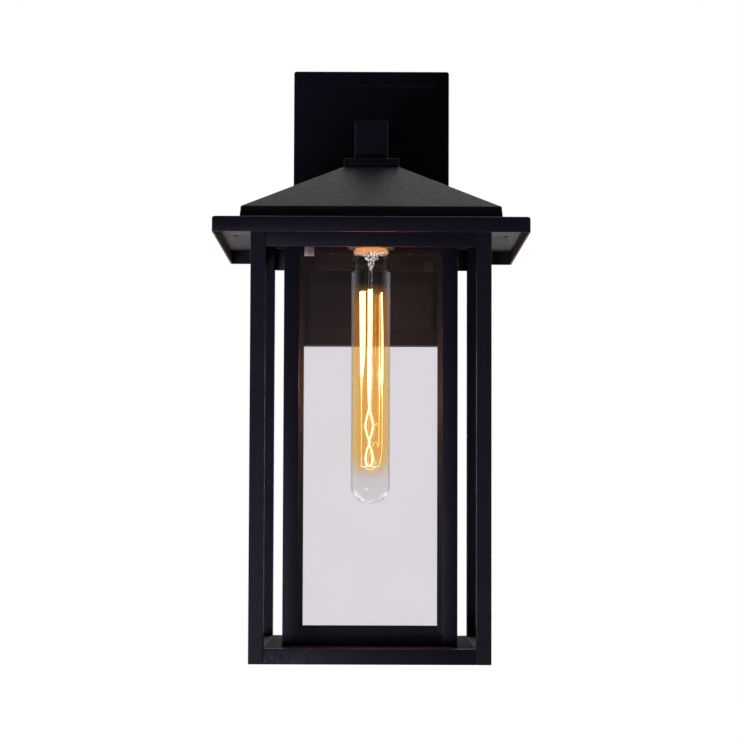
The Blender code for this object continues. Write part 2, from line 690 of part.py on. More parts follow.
def make_inner_rails(paint):
    length = BOX_WIDTH - 2 * ANGLE_LEG - 2 * TOUCH_GAP
    low = FLOOR_TOP + TOUCH_GAP
    for name, out_x, out_y in walls():
        a, b = side_box(out_x, out_y, HALF_BOX, ANGLE_SHEET, length, low, low + LOW_RAIL_HEIGHT)
        block("inner_bottom_rail_" + name, a, b, paint, softening=0)
        a, b = side_box(out_x, out_y, HALF_BOX, ANGLE_SHEET, length,
                        CAGE_TOP - HIGH_RAIL_HEIGHT, CAGE_TOP)
        block("inner_top_rail_" + name, a, b, paint, softening=0)


def make_panes(glass):
    low = FLOOR_TOP + 2 * TOUCH_GAP
    high = CAGE_TOP - TOUCH_GAP
    half = HALF_BOX - PANE_INSET
    wide = 2 * half
    narrow = wide - 2 * (PANE_THICK + GLASS_GAP)
    for name, out_x, out_y in walls():
        length = narrow if out_x else wide
        a, b = side_box(out_x, out_y, half, PANE_THICK, length, low, high)
        block("glass_pane_" + name, a, b, glass, softening=0)


def make_clips(metal):
    """Two tabs under the tray that keep the panes in, at opposite corners."""
    inside = HALF_BOX - PANE_INSET - PANE_THICK - GLASS_GAP
    edge = HALF_BOX - ANGLE_LEG
    for name, sx, sy in (("back_left", -1, 1), ("front_right", 1, -1)):
        x = sorted((sx * edge, sx * (edge - CLIP_WIDTH)))
        y = sorted((AXIS_Y + sy * inside, AXIS_Y + sy * (inside - CLIP_SHEET)))
        block("glass_clip_" + name, (x[0], y[0], CAGE_TOP - CLIP_HEIGHT), (x[1], y[1], CAGE_TOP),
              metal, softening=0)


# ---- socket --------------------------------------------------------------------------
def bridge_screw_x():
    """How far the bridge's screws stand from the lantern's axis."""
    return BRIDGE_INSIDE / 2 + BRIDGE_SHEET + BRIDGE_FOOT / 2


def make_bridge(zinc):
    """Hat-shaped strap on the tray: the nipple pulls it, and the roof is held between."""
    foot = EAVE_TOP + TOUCH_GAP
    sheet = BRIDGE_SHEET
    inner = BRIDGE_INSIDE / 2
    outer = inner + sheet
    right = [
        (inner, BRIDGE_TOP - sheet), (inner, foot), (outer + BRIDGE_FOOT, foot),
        (outer + BRIDGE_FOOT, foot + sheet), (outer, foot + sheet), (outer, BRIDGE_TOP),
    ]
    outline = right + [(-x, z) for x, z in reversed(right)]
    half = BRIDGE_WIDTH / 2
    rings = [[(x, AXIS_Y + y, z) for x, z in outline] for y in (-half, half)]
    bridge = solid("tray_bridge", rings, zinc)
    drill(bridge, (0, AXIS_Y, BRIDGE_TOP - 2 * sheet), (0, AXIS_Y, BRIDGE_TOP + sheet), NIPPLE_HOLE)
    for side in (-1, 1):
        x = side * bridge_screw_x()
        drill(bridge, (x, AXIS_Y, foot - sheet / 2), (x, AXIS_Y, foot + 2 * sheet),
              BRIDGE_SCREW_THREAD + SCREW_CLEARANCE)
    return bridge


def make_bridge_fixings(steel):
    seat = EAVE_TOP + 2 * TOUCH_GAP + BRIDGE_SHEET
    length = BRIDGE_SHEET + EAVE_SHEET + BRIDGE_SCREW_END
    for name, side in (("left", -1), ("right", 1)):
        screw("bridge_screw_" + name, (side * bridge_screw_x(), AXIS_Y, seat), "-Z",
              BRIDGE_SCREW_THREAD, length, BRIDGE_HEAD_WIDTH, BRIDGE_HEAD_HEIGHT, steel)
    nut_top = BRIDGE_TOP - BRIDGE_SHEET - TOUCH_GAP
    hex_nut("bridge_nut", (0, AXIS_Y, nut_top - NUT_THICK), "Z", NUT_FLATS, NUT_THICK,
            NIPPLE_HOLE, steel)
    arm_floor = CAP_TOP + TOUCH_GAP + ARM_END_WALL
    pipe("roof_nipple", NIPPLE_OUTER, NIPPLE_BORE, (0, AXIS_Y, nipple_end()),
         (0, AXIS_Y, arm_floor + NIPPLE_PAST_WALL), steel)


def nipple_end():
    """Lower end of the nipple that the socket hangs on."""
    return SOCKET_TOP - SOCKET_THREAD


def make_socket(moulding, brass):
    neck = SOCKET_NECK_WIDTH / 2
    body = SOCKET_WIDTH / 2
    bore = body - SOCKET_WALL
    ledge = nipple_end() - TOUCH_GAP
    cut = SOCKET_CHAMFER
    profile = [
        (body - cut, SOCKET_MOUTH), (body, SOCKET_MOUTH + cut), (body, SOCKET_FLOOR - cut),
        (neck, SOCKET_FLOOR + SOCKET_ROOF), (neck, SOCKET_TOP), (NIPPLE_HOLE / 2, SOCKET_TOP),
        (NIPPLE_HOLE / 2, ledge), (NIPPLE_BORE / 2, ledge), (NIPPLE_BORE / 2, SOCKET_FLOOR),
        (bore, SOCKET_FLOOR), (bore, SOCKET_MOUTH),
    ]
    turned("socket_body", profile, (0, AXIS_Y, 0), moulding, looped=True)
    shell = bore - TOUCH_GAP
    top = SOCKET_FLOOR - TOUCH_GAP
    low = SOCKET_MOUTH + cut
    hole = SHELL_HOLE_WIDTH / 2
    profile = [
        (shell, low), (shell, top), (hole, top), (hole, top - SHELL_SHEET),
        (shell - SHELL_SHEET, top - SHELL_SHEET), (shell - SHELL_SHEET, low),
    ]
    turned("socket_shell", profile, (0, AXIS_Y, 0), brass, looped=True)
    button = BASE_TOP + TOUCH_GAP
    disc = CONTACT_WIDTH / 2
    tip = CONTACT_TIP_WIDTH / 2
    profile = [
        (0, top), (disc, top), (disc, top - CONTACT_SHEET),
        (tip + CONTACT_SHEET, top - CONTACT_SHEET * 1.25), (tip, button), (0, button),
    ]
    turned("socket_contact", profile, (0, AXIS_Y, 0), brass)


# ---- wiring --------------------------------------------------------------------------
def make_wiring(black, white, green, cap):
    """Supply leads from the wall box through both nipples to the socket, and the earth lead."""
    nut_x = 14 * MM
    nut_y = -12 * MM
    nut_top = -24 * MM
    nut_width = 10.4 * MM
    nut_length = 20 * MM
    riser_y = -7 * MM
    turn = 12 * MM
    for name, side, sleeve in (("live", -1, black), ("neutral", 1, white)):
        corners_of_lead = [
            (side * nut_x, nut_y, nut_top + TOUCH_GAP), (side * nut_x, nut_y, nut_top + 18 * MM),
            (side * LEAD_X, riser_y, nut_top + 42 * MM), (side * LEAD_X, riser_y, ARM_Z),
            (side * LEAD_X, AXIS_Y, ARM_Z), (side * LEAD_X, AXIS_Y, SOCKET_FLOOR + TOUCH_GAP),
        ]
        wire(name + "_wire", smooth_route(corners_of_lead, turn), WIRE_WIDTH, sleeve)
        profile = [
            (0, 0), (nut_width * 0.46, 0), (nut_width * 0.5, -nut_length * 0.25),
            (nut_width * 0.385, -nut_length * 0.85), (nut_width * 0.25, -nut_length), (0, -nut_length),
        ]
        turned("wire_nut_" + name, profile, (side * nut_x, nut_y, nut_top), cap)
    x, z = ground_place()
    y = -STRAP_SHEET - TOUCH_GAP - GROUND_HEAD_HEIGHT - TOUCH_GAP - WIRE_WIDTH / 2
    beside_nut = NUT_FLATS / 2 + 2 * MM
    nut_middle = -PLATE_DEPTH + PLATE_SHEET + TOUCH_GAP + NUT_THICK / 2
    earth = [
        (x, y, z), (x - 2 * MM, y, z + 16 * MM), (beside_nut, -11 * MM, ARM_Z - 4 * MM),
        (beside_nut, nut_middle, ARM_Z),
    ]
    wire("ground_wire", smooth_route(earth, 8 * MM), WIRE_WIDTH, green)


# ---- bulb ----------------------------------------------------------------------------
def bulb_outline(inset):
    """Glass outline from the tip up to the neck, as (radius, height), set in by inset."""
    radius = BULB_WIDTH / 2 - inset
    dome = BULB_DOME - inset
    straight_low = BULB_TIP + BULB_DOME
    outline = [(0, BULB_TIP + inset)]
    for step in range(1, 7):
        angle = math.pi / 2 * step / 6
        outline.append((radius * math.sin(angle), straight_low - dome * math.cos(angle)))
    neck = NECK_WIDTH / 2 - inset
    for step in range(0, 5):
        t = step / 4
        ease = (1 - math.cos(math.pi * t)) / 2
        outline.append((radius + (neck - radius) * ease, SHOULDER_LOW + BULB_SHOULDER * t))
    outline.append((neck, GLASS_TOP))
    return outline


def make_bulb(glass, brass, stem_glass, filament_metal):
    outline = bulb_outline(0) + bulb_outline(BULB_GLASS_WALL)[::-1]
    turned("bulb_glass", outline, (0, AXIS_Y, 0), glass)

    outer = BASE_WIDTH / 2
    valley = outer - THREAD_DEPTH
    inner = NECK_WIDTH / 2 + TOUCH_GAP
    thread_top = BASE_TOP - BASE_CONE
    profile = [
        (0, BASE_TOP), (4.2 * MM, BASE_TOP), (4.6 * MM, BASE_TOP - 1.5 * MM),
        (9 * MM, BASE_TOP - 3.2 * MM), (valley, thread_top),
    ]
    turns = int((thread_top - BASE_RIM) / THREAD_PITCH)
    for turn in range(turns):
        crest = thread_top - (turn + 0.5) * THREAD_PITCH
        profile += [(outer, crest), (valley, crest - THREAD_PITCH / 2)]
    roof = GLASS_TOP + TOUCH_GAP
    profile += [(valley, BASE_RIM), (inner, BASE_RIM), (inner, roof), (0, roof)]
    turned("bulb_base", profile, (0, AXIS_Y, 0), brass)

    flare = NECK_WIDTH / 2 - BULB_GLASS_WALL - TOUCH_GAP
    stem_top = GLASS_TOP - 3 * MM
    rod = STEM_WIDTH / 2
    crown = STEM_CROWN_WIDTH / 2
    profile = [
        (0, stem_top), (flare, stem_top), (flare, stem_top - MM), (rod + 2.2 * MM, stem_top - 8 * MM),
        (rod, stem_top - 16 * MM), (rod, STEM_END + 9 * MM), (crown, STEM_END + 5 * MM),
        (crown, STEM_END + MM), (crown - 0.8 * MM, STEM_END), (0, STEM_END),
    ]
    turned("bulb_stem", profile, (0, AXIS_Y, 0), stem_glass)
    make_filament(filament_metal)


def make_filament(metal):
    """One long thread: down from a lead, up, crossed over in the lower third, and back."""
    start = STEM_END - TOUCH_GAP
    knee = STEM_END - 6 * MM
    lead_end = STEM_END - LEAD_LENGTH
    below_lead = lead_end - 9 * MM
    foot = BULB_TIP + FILAMENT_FOOT
    waist = foot + 52 * MM
    middle = (lead_end + waist) / 2
    loop = 4 * MM
    route = [
        (-4 * MM, 0, start), (-5 * MM, 0, knee), (-8 * MM, 0, lead_end),
        (-8.4 * MM, 0, middle), (-8 * MM, 0, waist), (-7 * MM, -1.5 * MM, foot + 27 * MM),
        (-5 * MM, -2 * MM, foot + loop), (-3 * MM, -2 * MM, foot), (-1 * MM, -2 * MM, foot + loop),
        (-2.4 * MM, -1.5 * MM, foot + 32 * MM), (-2.5 * MM, -1 * MM, waist), (-2.5 * MM, 0, middle),
        (-2.2 * MM, 0, below_lead), (-0.5 * MM, 0, lead_end), (1.2 * MM, 0, below_lead),
        (1.2 * MM, 0, middle), (1 * MM, 1 * MM, waist), (-1 * MM, 2 * MM, foot + 39 * MM),
        (2 * MM, 2.5 * MM, foot + loop), (4.5 * MM, 2 * MM, foot), (7 * MM, 2 * MM, foot + 2 * loop),
        (7 * MM, 1 * MM, waist), (7 * MM, 0, middle), (6.5 * MM, 0, lead_end),
        (5 * MM, 0, knee), (4 * MM, 0, start),
    ]
    route = [Vector((x, AXIS_Y + y, z)) for x, y, z in route]
    wire("filament", smooth_curve(route, 3), FILAMENT_WIDTH, metal)


def smooth_curve(points, steps):
    """Catmull-Rom curve through points, steps pieces for each span."""
    ends = [points[0] * 2 - points[1], *points, points[-1] * 2 - points[-2]]
    curve = []
    for a, b, c, d in zip(ends, ends[1:], ends[2:], ends[3:]):
        for step in range(steps):
            t = step / steps
            curve.append(0.5 * (2 * b + (c - a) * t + (2 * a - 5 * b + 4 * c - d) * t ** 2
                                + (3 * b - a - 3 * c + d) * t ** 3))
    curve.append(points[-1])
    return curve


def main():
    clear_scene()
    black = finish("black powder coat", (0.012, 0.011, 0.014), 0.5, 0.0)
    zinc = finish("zinc plated steel", (0.55, 0.56, 0.57), 0.35, 1.0)
    screw_black = finish("black screw", (0.02, 0.02, 0.022), 0.4, 0.6)
    foam = finish("closed cell foam", (0.03, 0.03, 0.03), 0.9, 0.0)
    green = finish("green earth", (0.02, 0.25, 0.08), 0.5, 0.0)
    glass = finish("clear pane glass", (0.85, 0.84, 0.88), 0.02, 0.0)
    bulb_glass = finish("clear bulb glass", (0.95, 0.9, 0.82), 0.02, 0.0)
    brass = finish("nickel plated brass", (0.72, 0.66, 0.5), 0.3, 1.0)
    moulding = finish("black socket moulding", (0.02, 0.02, 0.02), 0.35, 0.0)
    tungsten = finish("glowing filament", (1.0, 0.55, 0.18), 0.4, 0.0)
    lead_black = finish("black sleeve", (0.02, 0.02, 0.02), 0.5, 0.0)
    lead_white = finish("white sleeve", (0.75, 0.75, 0.73), 0.5, 0.0)
    cap = finish("orange wire cap", (0.8, 0.25, 0.04), 0.5, 0.0)

    make_backplate(black)
    make_gasket(foam)
    make_strap(zinc)
    make_wall_screws(screw_black, green)
    make_arm(black)
    make_arm_fixings(zinc)
    make_cap_block(black)
    make_roof(black)
    make_eave_tray(black)
    make_outer_posts(black)
    make_cage_rails(black)
    make_floor(black)
    make_inner_posts(black)
    make_inner_rails(black)
    make_panes(glass)
    make_clips(zinc)
    make_bridge(zinc)
    make_bridge_fixings(zinc)
    make_socket(moulding, brass)
    make_wiring(lead_black, lead_white, green, cap)
    make_bulb(bulb_glass, brass, bulb_glass, tungsten)


main()
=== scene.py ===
# %% [markdown]
# # An outdoor wall lantern
# The lantern is black powder-coated steel: a pressed wall plate, a square arm, a pyramid roof on a
# wide eave, an open square cage and, inside it, a clear glass box round one long tube bulb.
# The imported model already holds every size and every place, so it is loaded first as a fixed frame.
# This script only adds looks: smoother sheet metal, real screw threads, the glowing filament, glass,
# and a finish for each material.

# %% Load the frame
import json
import math

import bmesh
import bpy
from mathutils import Matrix, Vector

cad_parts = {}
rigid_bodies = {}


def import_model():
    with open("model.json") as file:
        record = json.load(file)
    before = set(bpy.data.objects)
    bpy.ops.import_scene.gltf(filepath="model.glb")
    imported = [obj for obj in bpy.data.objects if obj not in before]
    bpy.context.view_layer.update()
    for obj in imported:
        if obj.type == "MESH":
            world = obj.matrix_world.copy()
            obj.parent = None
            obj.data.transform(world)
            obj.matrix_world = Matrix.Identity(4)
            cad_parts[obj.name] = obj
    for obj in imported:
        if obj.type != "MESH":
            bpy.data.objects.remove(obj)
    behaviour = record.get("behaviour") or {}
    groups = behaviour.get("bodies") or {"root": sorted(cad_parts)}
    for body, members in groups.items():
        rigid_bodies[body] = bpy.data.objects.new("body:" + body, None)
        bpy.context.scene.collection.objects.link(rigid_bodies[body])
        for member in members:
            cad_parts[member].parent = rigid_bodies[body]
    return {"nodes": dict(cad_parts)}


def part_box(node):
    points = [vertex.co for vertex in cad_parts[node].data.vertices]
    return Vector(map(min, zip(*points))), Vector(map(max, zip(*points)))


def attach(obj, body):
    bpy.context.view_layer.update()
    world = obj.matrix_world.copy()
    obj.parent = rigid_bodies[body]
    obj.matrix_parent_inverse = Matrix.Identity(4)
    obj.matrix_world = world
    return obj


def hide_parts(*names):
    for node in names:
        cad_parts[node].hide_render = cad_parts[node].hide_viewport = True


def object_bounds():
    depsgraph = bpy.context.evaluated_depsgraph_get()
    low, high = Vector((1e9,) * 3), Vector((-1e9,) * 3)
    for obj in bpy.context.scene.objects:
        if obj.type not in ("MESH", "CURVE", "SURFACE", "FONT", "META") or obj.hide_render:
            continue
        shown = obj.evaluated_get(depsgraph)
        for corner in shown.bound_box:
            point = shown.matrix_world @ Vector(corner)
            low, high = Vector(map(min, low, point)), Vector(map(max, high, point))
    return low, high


for thing in list(bpy.data.objects):
    bpy.data.objects.remove(thing, do_unlink=True)

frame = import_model()
nodes = frame["nodes"]
cad_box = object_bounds()
MM = 0.001
print("nodes:", len(nodes), "box:", cad_box)

# %% [markdown]
# ## Writing node trees as sentences
# Materials and Geometry Nodes are both graphs. Wiring each node by hand hides the idea, so one class
# wraps a socket and lets plain arithmetic add the Math nodes, and one method adds any other node.


# %% A socket that does arithmetic
class Value:
    """One socket on its way through a tree; + - * / ** on it add Math nodes."""

    def __init__(self, tree, socket):
        self.tree = tree
        self.socket = socket

    def __add__(self, other):
        return self.tree.math("ADD", self, other)

    def __mul__(self, other):
        return self.tree.math("MULTIPLY", self, other)

    def __sub__(self, other):
        return self.tree.math("SUBTRACT", self, other)

    def __rsub__(self, other):
        return self.tree.math("SUBTRACT", other, self)

    def __truediv__(self, other):
        return self.tree.math("DIVIDE", self, other)

    def __pow__(self, other):
        return self.tree.math("POWER", self, other)

    __radd__ = __add__
    __rmul__ = __mul__

    def output(self, name):
        return Value(self.tree, self.socket.node.outputs[name])


# %% A tree that adds nodes
class Tree:
    """A shader or geometry tree."""

    def __init__(self, group):
        self.group = group

    def plug(self, slot, value):
        if isinstance(value, Value):
            self.group.links.new(value.socket, slot)
        else:
            slot.default_value = value

    def add(self, kind, settings=None, inputs=None):
        """Add a node: its settings first, then its sockets, by order or by name."""
        node = self.group.nodes.new(kind)
        for name, value in (settings or {}).items():
            setattr(node, name, value)
        pairs = enumerate(inputs) if isinstance(inputs, (list, tuple)) else (inputs or {}).items()
        for key, value in pairs:
            self.plug(node.inputs[key], value)
        return Value(self, node.outputs[0]) if node.outputs else None

    def math(self, operation, first, second):
        return self.add("ShaderNodeMath", {"operation": operation}, [first, second])

    def ramp(self, value, low, high, start=0.0, end=1.0):
        """start below low, end above high, straight between."""
        inputs = {"Value": value, "From Min": low, "From Max": high, "To Min": start, "To Max": end}
        return self.add("ShaderNodeMapRange", {"clamp": True}, inputs)


# %% [markdown]
# ## Finishes
# Each finish is a Principled surface whose colour, roughness and bump come from noise on Object
# coordinates, in metres. Object coordinates stay put when a body moves and need no unwrapping, and
# a grain size can be written as the millimetres that it has on the real coat.


# %% A finish for one material
class Finish(Tree):
    """A material under construction."""

    def __init__(self, name):
        self.material = bpy.data.materials.new(name)
        self.material.use_nodes = True
        super().__init__(self.material.node_tree)
        self.group.nodes.clear()
        self.place = self.add("ShaderNodeTexCoord").output("Object")

    def noise(self, size, detail=2.0, rough=0.5, squeeze=None):
        """Soft noise from 0 to 1, its blobs about size metres across, or less where squeezed."""
        at = self.place
        if squeeze:
            at = self.add("ShaderNodeMapping", {}, {"Vector": at, "Scale": squeeze})
        texture = {"Vector": at, "Scale": 1 / size, "Detail": detail, "Roughness": rough}
        return self.add("ShaderNodeTexNoise", {}, texture).output("Fac")

    def blend(self, factor, first, second):
        """Colour between first and second."""
        node = self.group.nodes.new("ShaderNodeMix")
        node.data_type = "RGBA"
        self.plug(node.inputs[0], factor)
        self.plug(node.inputs[6], (*first, 1))
        self.plug(node.inputs[7], (*second, 1))
        return Value(self, node.outputs[2])

    def bump(self, height, depth, strength=1.0):
        return self.add("ShaderNodeBump", {}, {"Strength": strength, "Distance": depth, "Height": height})

    def principled(self, **sockets):
        """Principled surface; a socket's name is written with _ for each space."""
        named = {name.replace("_", " "): value for name, value in sockets.items()}
        for name, value in named.items():
            if isinstance(value, tuple) and len(value) == 3:
                named[name] = (*value, 1)
        return self.add("ShaderNodeBsdfPrincipled", {}, named)

    def done(self, surface):
        self.add("ShaderNodeOutputMaterial", {}, {"Surface": surface})
        print("finish:", self.material.name)
        return self.material


# %% [markdown]
# ### Black powder coat
# Powder coat melts into a skin with a fine grain of about a millimetre over broader waves. The grain
# breaks every reflection into a soft sparkle, so it goes into bump and roughness, and the colour
# itself hardly changes. A low specular level keeps upright faces nearly black, while the sloping and
# level faces still pick up light at a shallow angle. Three duller copies of the same coat paint shade:
# less shine and more roughness darken the sheltered parts, more so near the wall, and most on the low
# plate and rails. One function takes the shine and the two ends of the roughness, so these are four coats
# of one recipe.


# %% Powder coat
COAT_GRAIN = 1.3 * MM
COAT_WAVES = 5 * MM
COAT_CLOUDS = 45 * MM
COAT_DARK = (0.0, 0.0, 0.0006)
COAT_LIGHT = (0.022, 0.019, 0.034)


def powder_coat(name, shine, low_rough, high_rough):
    coat = Finish(name)
    grain = coat.noise(COAT_GRAIN, detail=3.0, rough=0.7)
    waves = coat.noise(COAT_WAVES)
    cloud = coat.noise(COAT_CLOUDS)
    colour = coat.blend(cloud * 0.25 + grain * 0.75, COAT_DARK, COAT_LIGHT)
    surface = coat.principled(
        Base_Color=colour, Roughness=coat.ramp(grain, 0.36, 0.64, high_rough, low_rough),
        Specular_IOR_Level=shine, Normal=coat.bump(grain * 0.7 + waves * 0.3, 0.32 * MM, 0.8))
    return coat.done(surface)


BLACK = powder_coat("black powder coat", 0.2, 0.3, 0.6)
# Painted shade: the three duller copies below stand for less light on sheltered, wall-side and low parts.
WALL_SHADED_BLACK = powder_coat("wall side powder coat", 0.07, 0.42, 0.7)
LOW_SHADED_BLACK = powder_coat("dusty powder coat", 0.06, 0.55, 0.8)
SHELTERED_SHADED_BLACK = powder_coat("sheltered powder coat", 0.14, 0.34, 0.64)

# %% [markdown]
# ### Plain metals
# Zinc-plated steel and nickel-plated brass differ in colour and in how they are marked: plate is
# cloudy, drawn brass has faint lines round it, which are noise squeezed along Z. One function takes
# the two colours and the marking.


# %% Bare metals
def bare_metal(name, dark, light, roughness, cloud_size, squeeze=(1, 1, 1)):
    metal = Finish(name)
    cloud = metal.noise(cloud_size, detail=4.0)
    lines = metal.noise(0.8 * MM, squeeze=squeeze)
    marks = cloud * 0.7 + lines * 0.3
    surface = metal.principled(
        Base_Color=metal.blend(marks, dark, light), Metallic=1.0,
        Roughness=metal.ramp(marks, 0.3, 0.7, roughness - 0.07, roughness + 0.1),
        Normal=metal.bump(lines, 0.02 * MM, 0.3))
    return metal.done(surface)


ZINC = bare_metal("zinc plated steel", (0.42, 0.43, 0.45), (0.66, 0.67, 0.68), 0.36, 6 * MM)
BRASS = bare_metal("socket brass", (0.52, 0.38, 0.17), (0.74, 0.58, 0.3), 0.3, 5 * MM, (1, 1, 8))
NICKEL = bare_metal("nickel plated cap", (0.6, 0.56, 0.47), (0.8, 0.76, 0.66), 0.26, 5 * MM, (1, 1, 8))
SCREW_BLACK = bare_metal("black oxide screw", (0.02, 0.02, 0.022), (0.05, 0.05, 0.055), 0.4, 2 * MM)


# %% [markdown]
# ### Plastic and foam
# These are skins over a colour: a sleeve is smooth and glossy, foam and cement are matt and coarse,
# and the socket's heat-proof moulding is black under a thin clear coat. What differs is two colours,
# a roughness and the grain's size and depth, so one function makes them all.


# %% Moulded materials
def skin(name, dark, light, roughness, grain_size, depth, coat=0.0):
    material = Finish(name)
    grain = material.noise(grain_size, detail=3.0)
    surface = material.principled(
        Base_Color=material.blend(material.noise(grain_size * 6), dark, light),
        Roughness=material.ramp(grain, 0.3, 0.7, roughness - 0.05, roughness + 0.06),
        Coat_Weight=coat, Coat_Roughness=0.08, Normal=material.bump(grain, depth, 0.5))
    return material.done(surface)


FOAM = skin("closed cell foam", (0.012, 0.012, 0.013), (0.03, 0.03, 0.031), 0.9, 0.9 * MM, 0.2 * MM)
MOULDING = skin("socket moulding", (0.012, 0.012, 0.013), (0.026, 0.026, 0.027), 0.42, 2 * MM,
                0.03 * MM, coat=0.3)
CEMENT = skin("base cement", (0.5, 0.2, 0.05), (0.95, 0.6, 0.26), 0.8, 0.5 * MM, 0.2 * MM)
BLACK_SLEEVE = skin("black sleeve", (0.01, 0.01, 0.011), (0.022, 0.022, 0.023), 0.4, MM, 0.02 * MM)
WHITE_SLEEVE = skin("white sleeve", (0.6, 0.6, 0.57), (0.72, 0.72, 0.69), 0.4, MM, 0.02 * MM)
GREEN_SLEEVE = skin("green sleeve", (0.01, 0.15, 0.04), (0.02, 0.24, 0.07), 0.4, MM, 0.02 * MM)
WIRE_CAP = skin("orange wire cap", (0.62, 0.16, 0.02), (0.78, 0.25, 0.04), 0.48, MM, 0.04 * MM)
GREEN_SCREW = skin("green dyed screw", (0.01, 0.13, 0.04), (0.02, 0.22, 0.07), 0.32, MM, 0.02 * MM)

# %% [markdown]
# ### Clear glass
# A thin pane hardly bends light. Letting rays straight through a tinted Transparent shader, with a
# mirror over it, gives a clean pane in few samples, and daylight passes it without caustics. How much
# is mirrored follows Schlick's rule: 4% face on, rising with the fifth power of how far the surface
# turns away. Layer Weight's Facing gives that angle, and it is the same on both sides of a wall, where
# a Fresnel node would make the inner side a full mirror. The tint is a trace of grey-lavender.


# %% Glass
def turned_away(finish):
    """0 where the surface faces the eye, 1 where it is edge on."""
    return finish.add("ShaderNodeLayerWeight", {}, {"Blend": 0.5}).output("Facing")


def mixed(finish, factor, first, second):
    return finish.add("ShaderNodeMixShader", {}, [factor, first, second])


def see_through(finish, tint):
    return finish.add("ShaderNodeBsdfTransparent", {}, {"Color": (*tint, 1)})


def shining(finish, colour, strength):
    return finish.add("ShaderNodeEmission", {}, {"Color": (*colour, 1), "Strength": strength})


def mirrored(glass, inside, haze_size, share=1.0):
    """A mirror over what is seen through; faint smears, haze_size across, make it uneven."""
    mirror = glass.add("ShaderNodeBsdfGlossy", {}, {"Color": (1, 1, 1, 1), "Roughness": 0.02})
    schlick = turned_away(glass) ** 5 * 0.96 + 0.04
    smear = glass.noise(haze_size, detail=3.0)
    amount = schlick * glass.ramp(smear, 0.35, 0.65, 0.6, 0.85) * share
    return mixed(glass, amount, inside, mirror)


def thin_glass(name, tint, haze_size):
    glass = Finish(name)
    return glass, mirrored(glass, see_through(glass, tint), haze_size)


pane, pane_surface = thin_glass("clear pane glass", (0.941, 0.929, 0.944), 60 * MM)
PANE = pane.done(pane_surface)

# %% [markdown]
# ### Bulb glass
# The envelope is clear at its neck and tip. Beside the filament the glass paints the filament's light that
# bounces between the walls: an amber tint on what is seen through it, and a faint glow of its own. Both
# follow the height, so a mask on Object Z moves from the clear glass to the amber one. Four thin
# effects go over that, each with its own mask: a dark line where the wall is seen edge on, painted
# highlights that shine white in the thick dome, the mirror of the room, and a painted orange glow on the
# rim next to the cap.

# %% Bulb places, from the frame
glass_low, glass_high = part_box("bulb_glass")
BULB_X = (glass_low[0] + glass_high[0]) / 2
BULB_Y = (glass_low[1] + glass_high[1]) / 2
BULB_TIP = glass_low[2]
BULB_RADIUS = (glass_high[0] - glass_low[0]) / 2
TOP = 165                     # the filament's upper end, in millimetres from the tip
FOOT = 28.5                   # and its lower end
FILAMENT_TOP = BULB_TIP + TOP * MM
FILAMENT_FOOT = BULB_TIP + FOOT * MM
NECK_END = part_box("bulb_base")[0][2] - 3 * MM
print("bulb radius", BULB_RADIUS, "tip", BULB_TIP)


# %% Bulb glass material
def bulb_glass():
    glass = Finish("clear bulb glass")
    height = glass.add("ShaderNodeSeparateXYZ", {}, {"Vector": glass.place}).output("Z")
    facing = turned_away(glass)
    above_foot = glass.ramp(height, FILAMENT_FOOT - 9 * MM, FILAMENT_FOOT + 10 * MM)
    below_top = glass.ramp(height, FILAMENT_TOP - 12 * MM, FILAMENT_TOP + 4 * MM, 1.0, 0.0)
    # lit is the band beside the filament where its light is painted on the glass.
    lit = above_foot * below_top
    clear = see_through(glass, (0.972, 0.968, 0.964))
    # Painted light: an amber tint in that band stands for the filament's light.
    painted_amber_light = see_through(glass, (1.0, 0.93, 0.7))
    tinted = mixed(glass, lit * 0.9, clear, painted_amber_light)
    edge = see_through(glass, (0.32, 0.29, 0.27))
    outlined = mixed(glass, glass.ramp(facing, 0.74, 0.94) * 0.8, tinted, edge)
    above_dome = glass.ramp(height, BULB_TIP + 12 * MM, BULB_TIP + 30 * MM, 0.5, 1.5)
    walls = mirrored(glass, outlined, 25 * MM, above_dome)
    in_dome = glass.ramp(height, BULB_TIP + 8 * MM, BULB_TIP + 11 * MM, 1.0, 0.0)
    # Painted highlights: white shining patches near the dome's edge.
    highlight_patches = glass.ramp(glass.noise(4 * MM, detail=1.0), 0.52, 0.6)
    painted_highlights = highlight_patches * (in_dome * glass.ramp(facing, 0.3, 0.55)) * 0.75
    with_painted_highlights = mixed(glass, painted_highlights, walls, shining(glass, (1.0, 0.98, 0.97), 1.1))
    # Painted glow: the filament's light shines from the glass itself in that band.
    glow = shining(glass, (1.0, 0.38, 0.05), 1.0)
    with_painted_glow = mixed(glass, lit * (1 - facing) ** 2.0 * 0.17, with_painted_highlights, glow)
    # Painted glow: an orange band on the rim next to the cap.
    painted_rim_glow = glass.ramp(height, NECK_END - 3.2 * MM, NECK_END - 0.6 * MM) * 0.8
    return glass.done(mixed(glass, painted_rim_glow, with_painted_glow, shining(glass, (1.0, 0.38, 0.08), 0.95)))


BULB_GLASS = bulb_glass()

# %% [markdown]
# The stem and the neck's folded rim are thick, creased glass, which throws the lamplight about in
# small bright facets. These are painted highlights: a hard-edged noise picks the facets, and each one
# shines.


# %% Folded glass
def glass_with_painted_glints(name, share):
    """share adds to how much of the surface gets painted glints."""
    glass, plain = thin_glass(name, (0.93, 0.92, 0.92), 10 * MM)
    painted_glints = glass.ramp(glass.noise(0.9 * MM, squeeze=(1, 1, 0.6)), 0.62 - share, 0.65 - share)
    return glass.done(mixed(glass, painted_glints * 0.85, plain, shining(glass, (1.0, 0.92, 0.86), 1.7)))


STEM_GLASS = glass_with_painted_glints("stem glass", 0.05)
RIM_GLASS = glass_with_painted_glints("folded rim glass", 0.03)


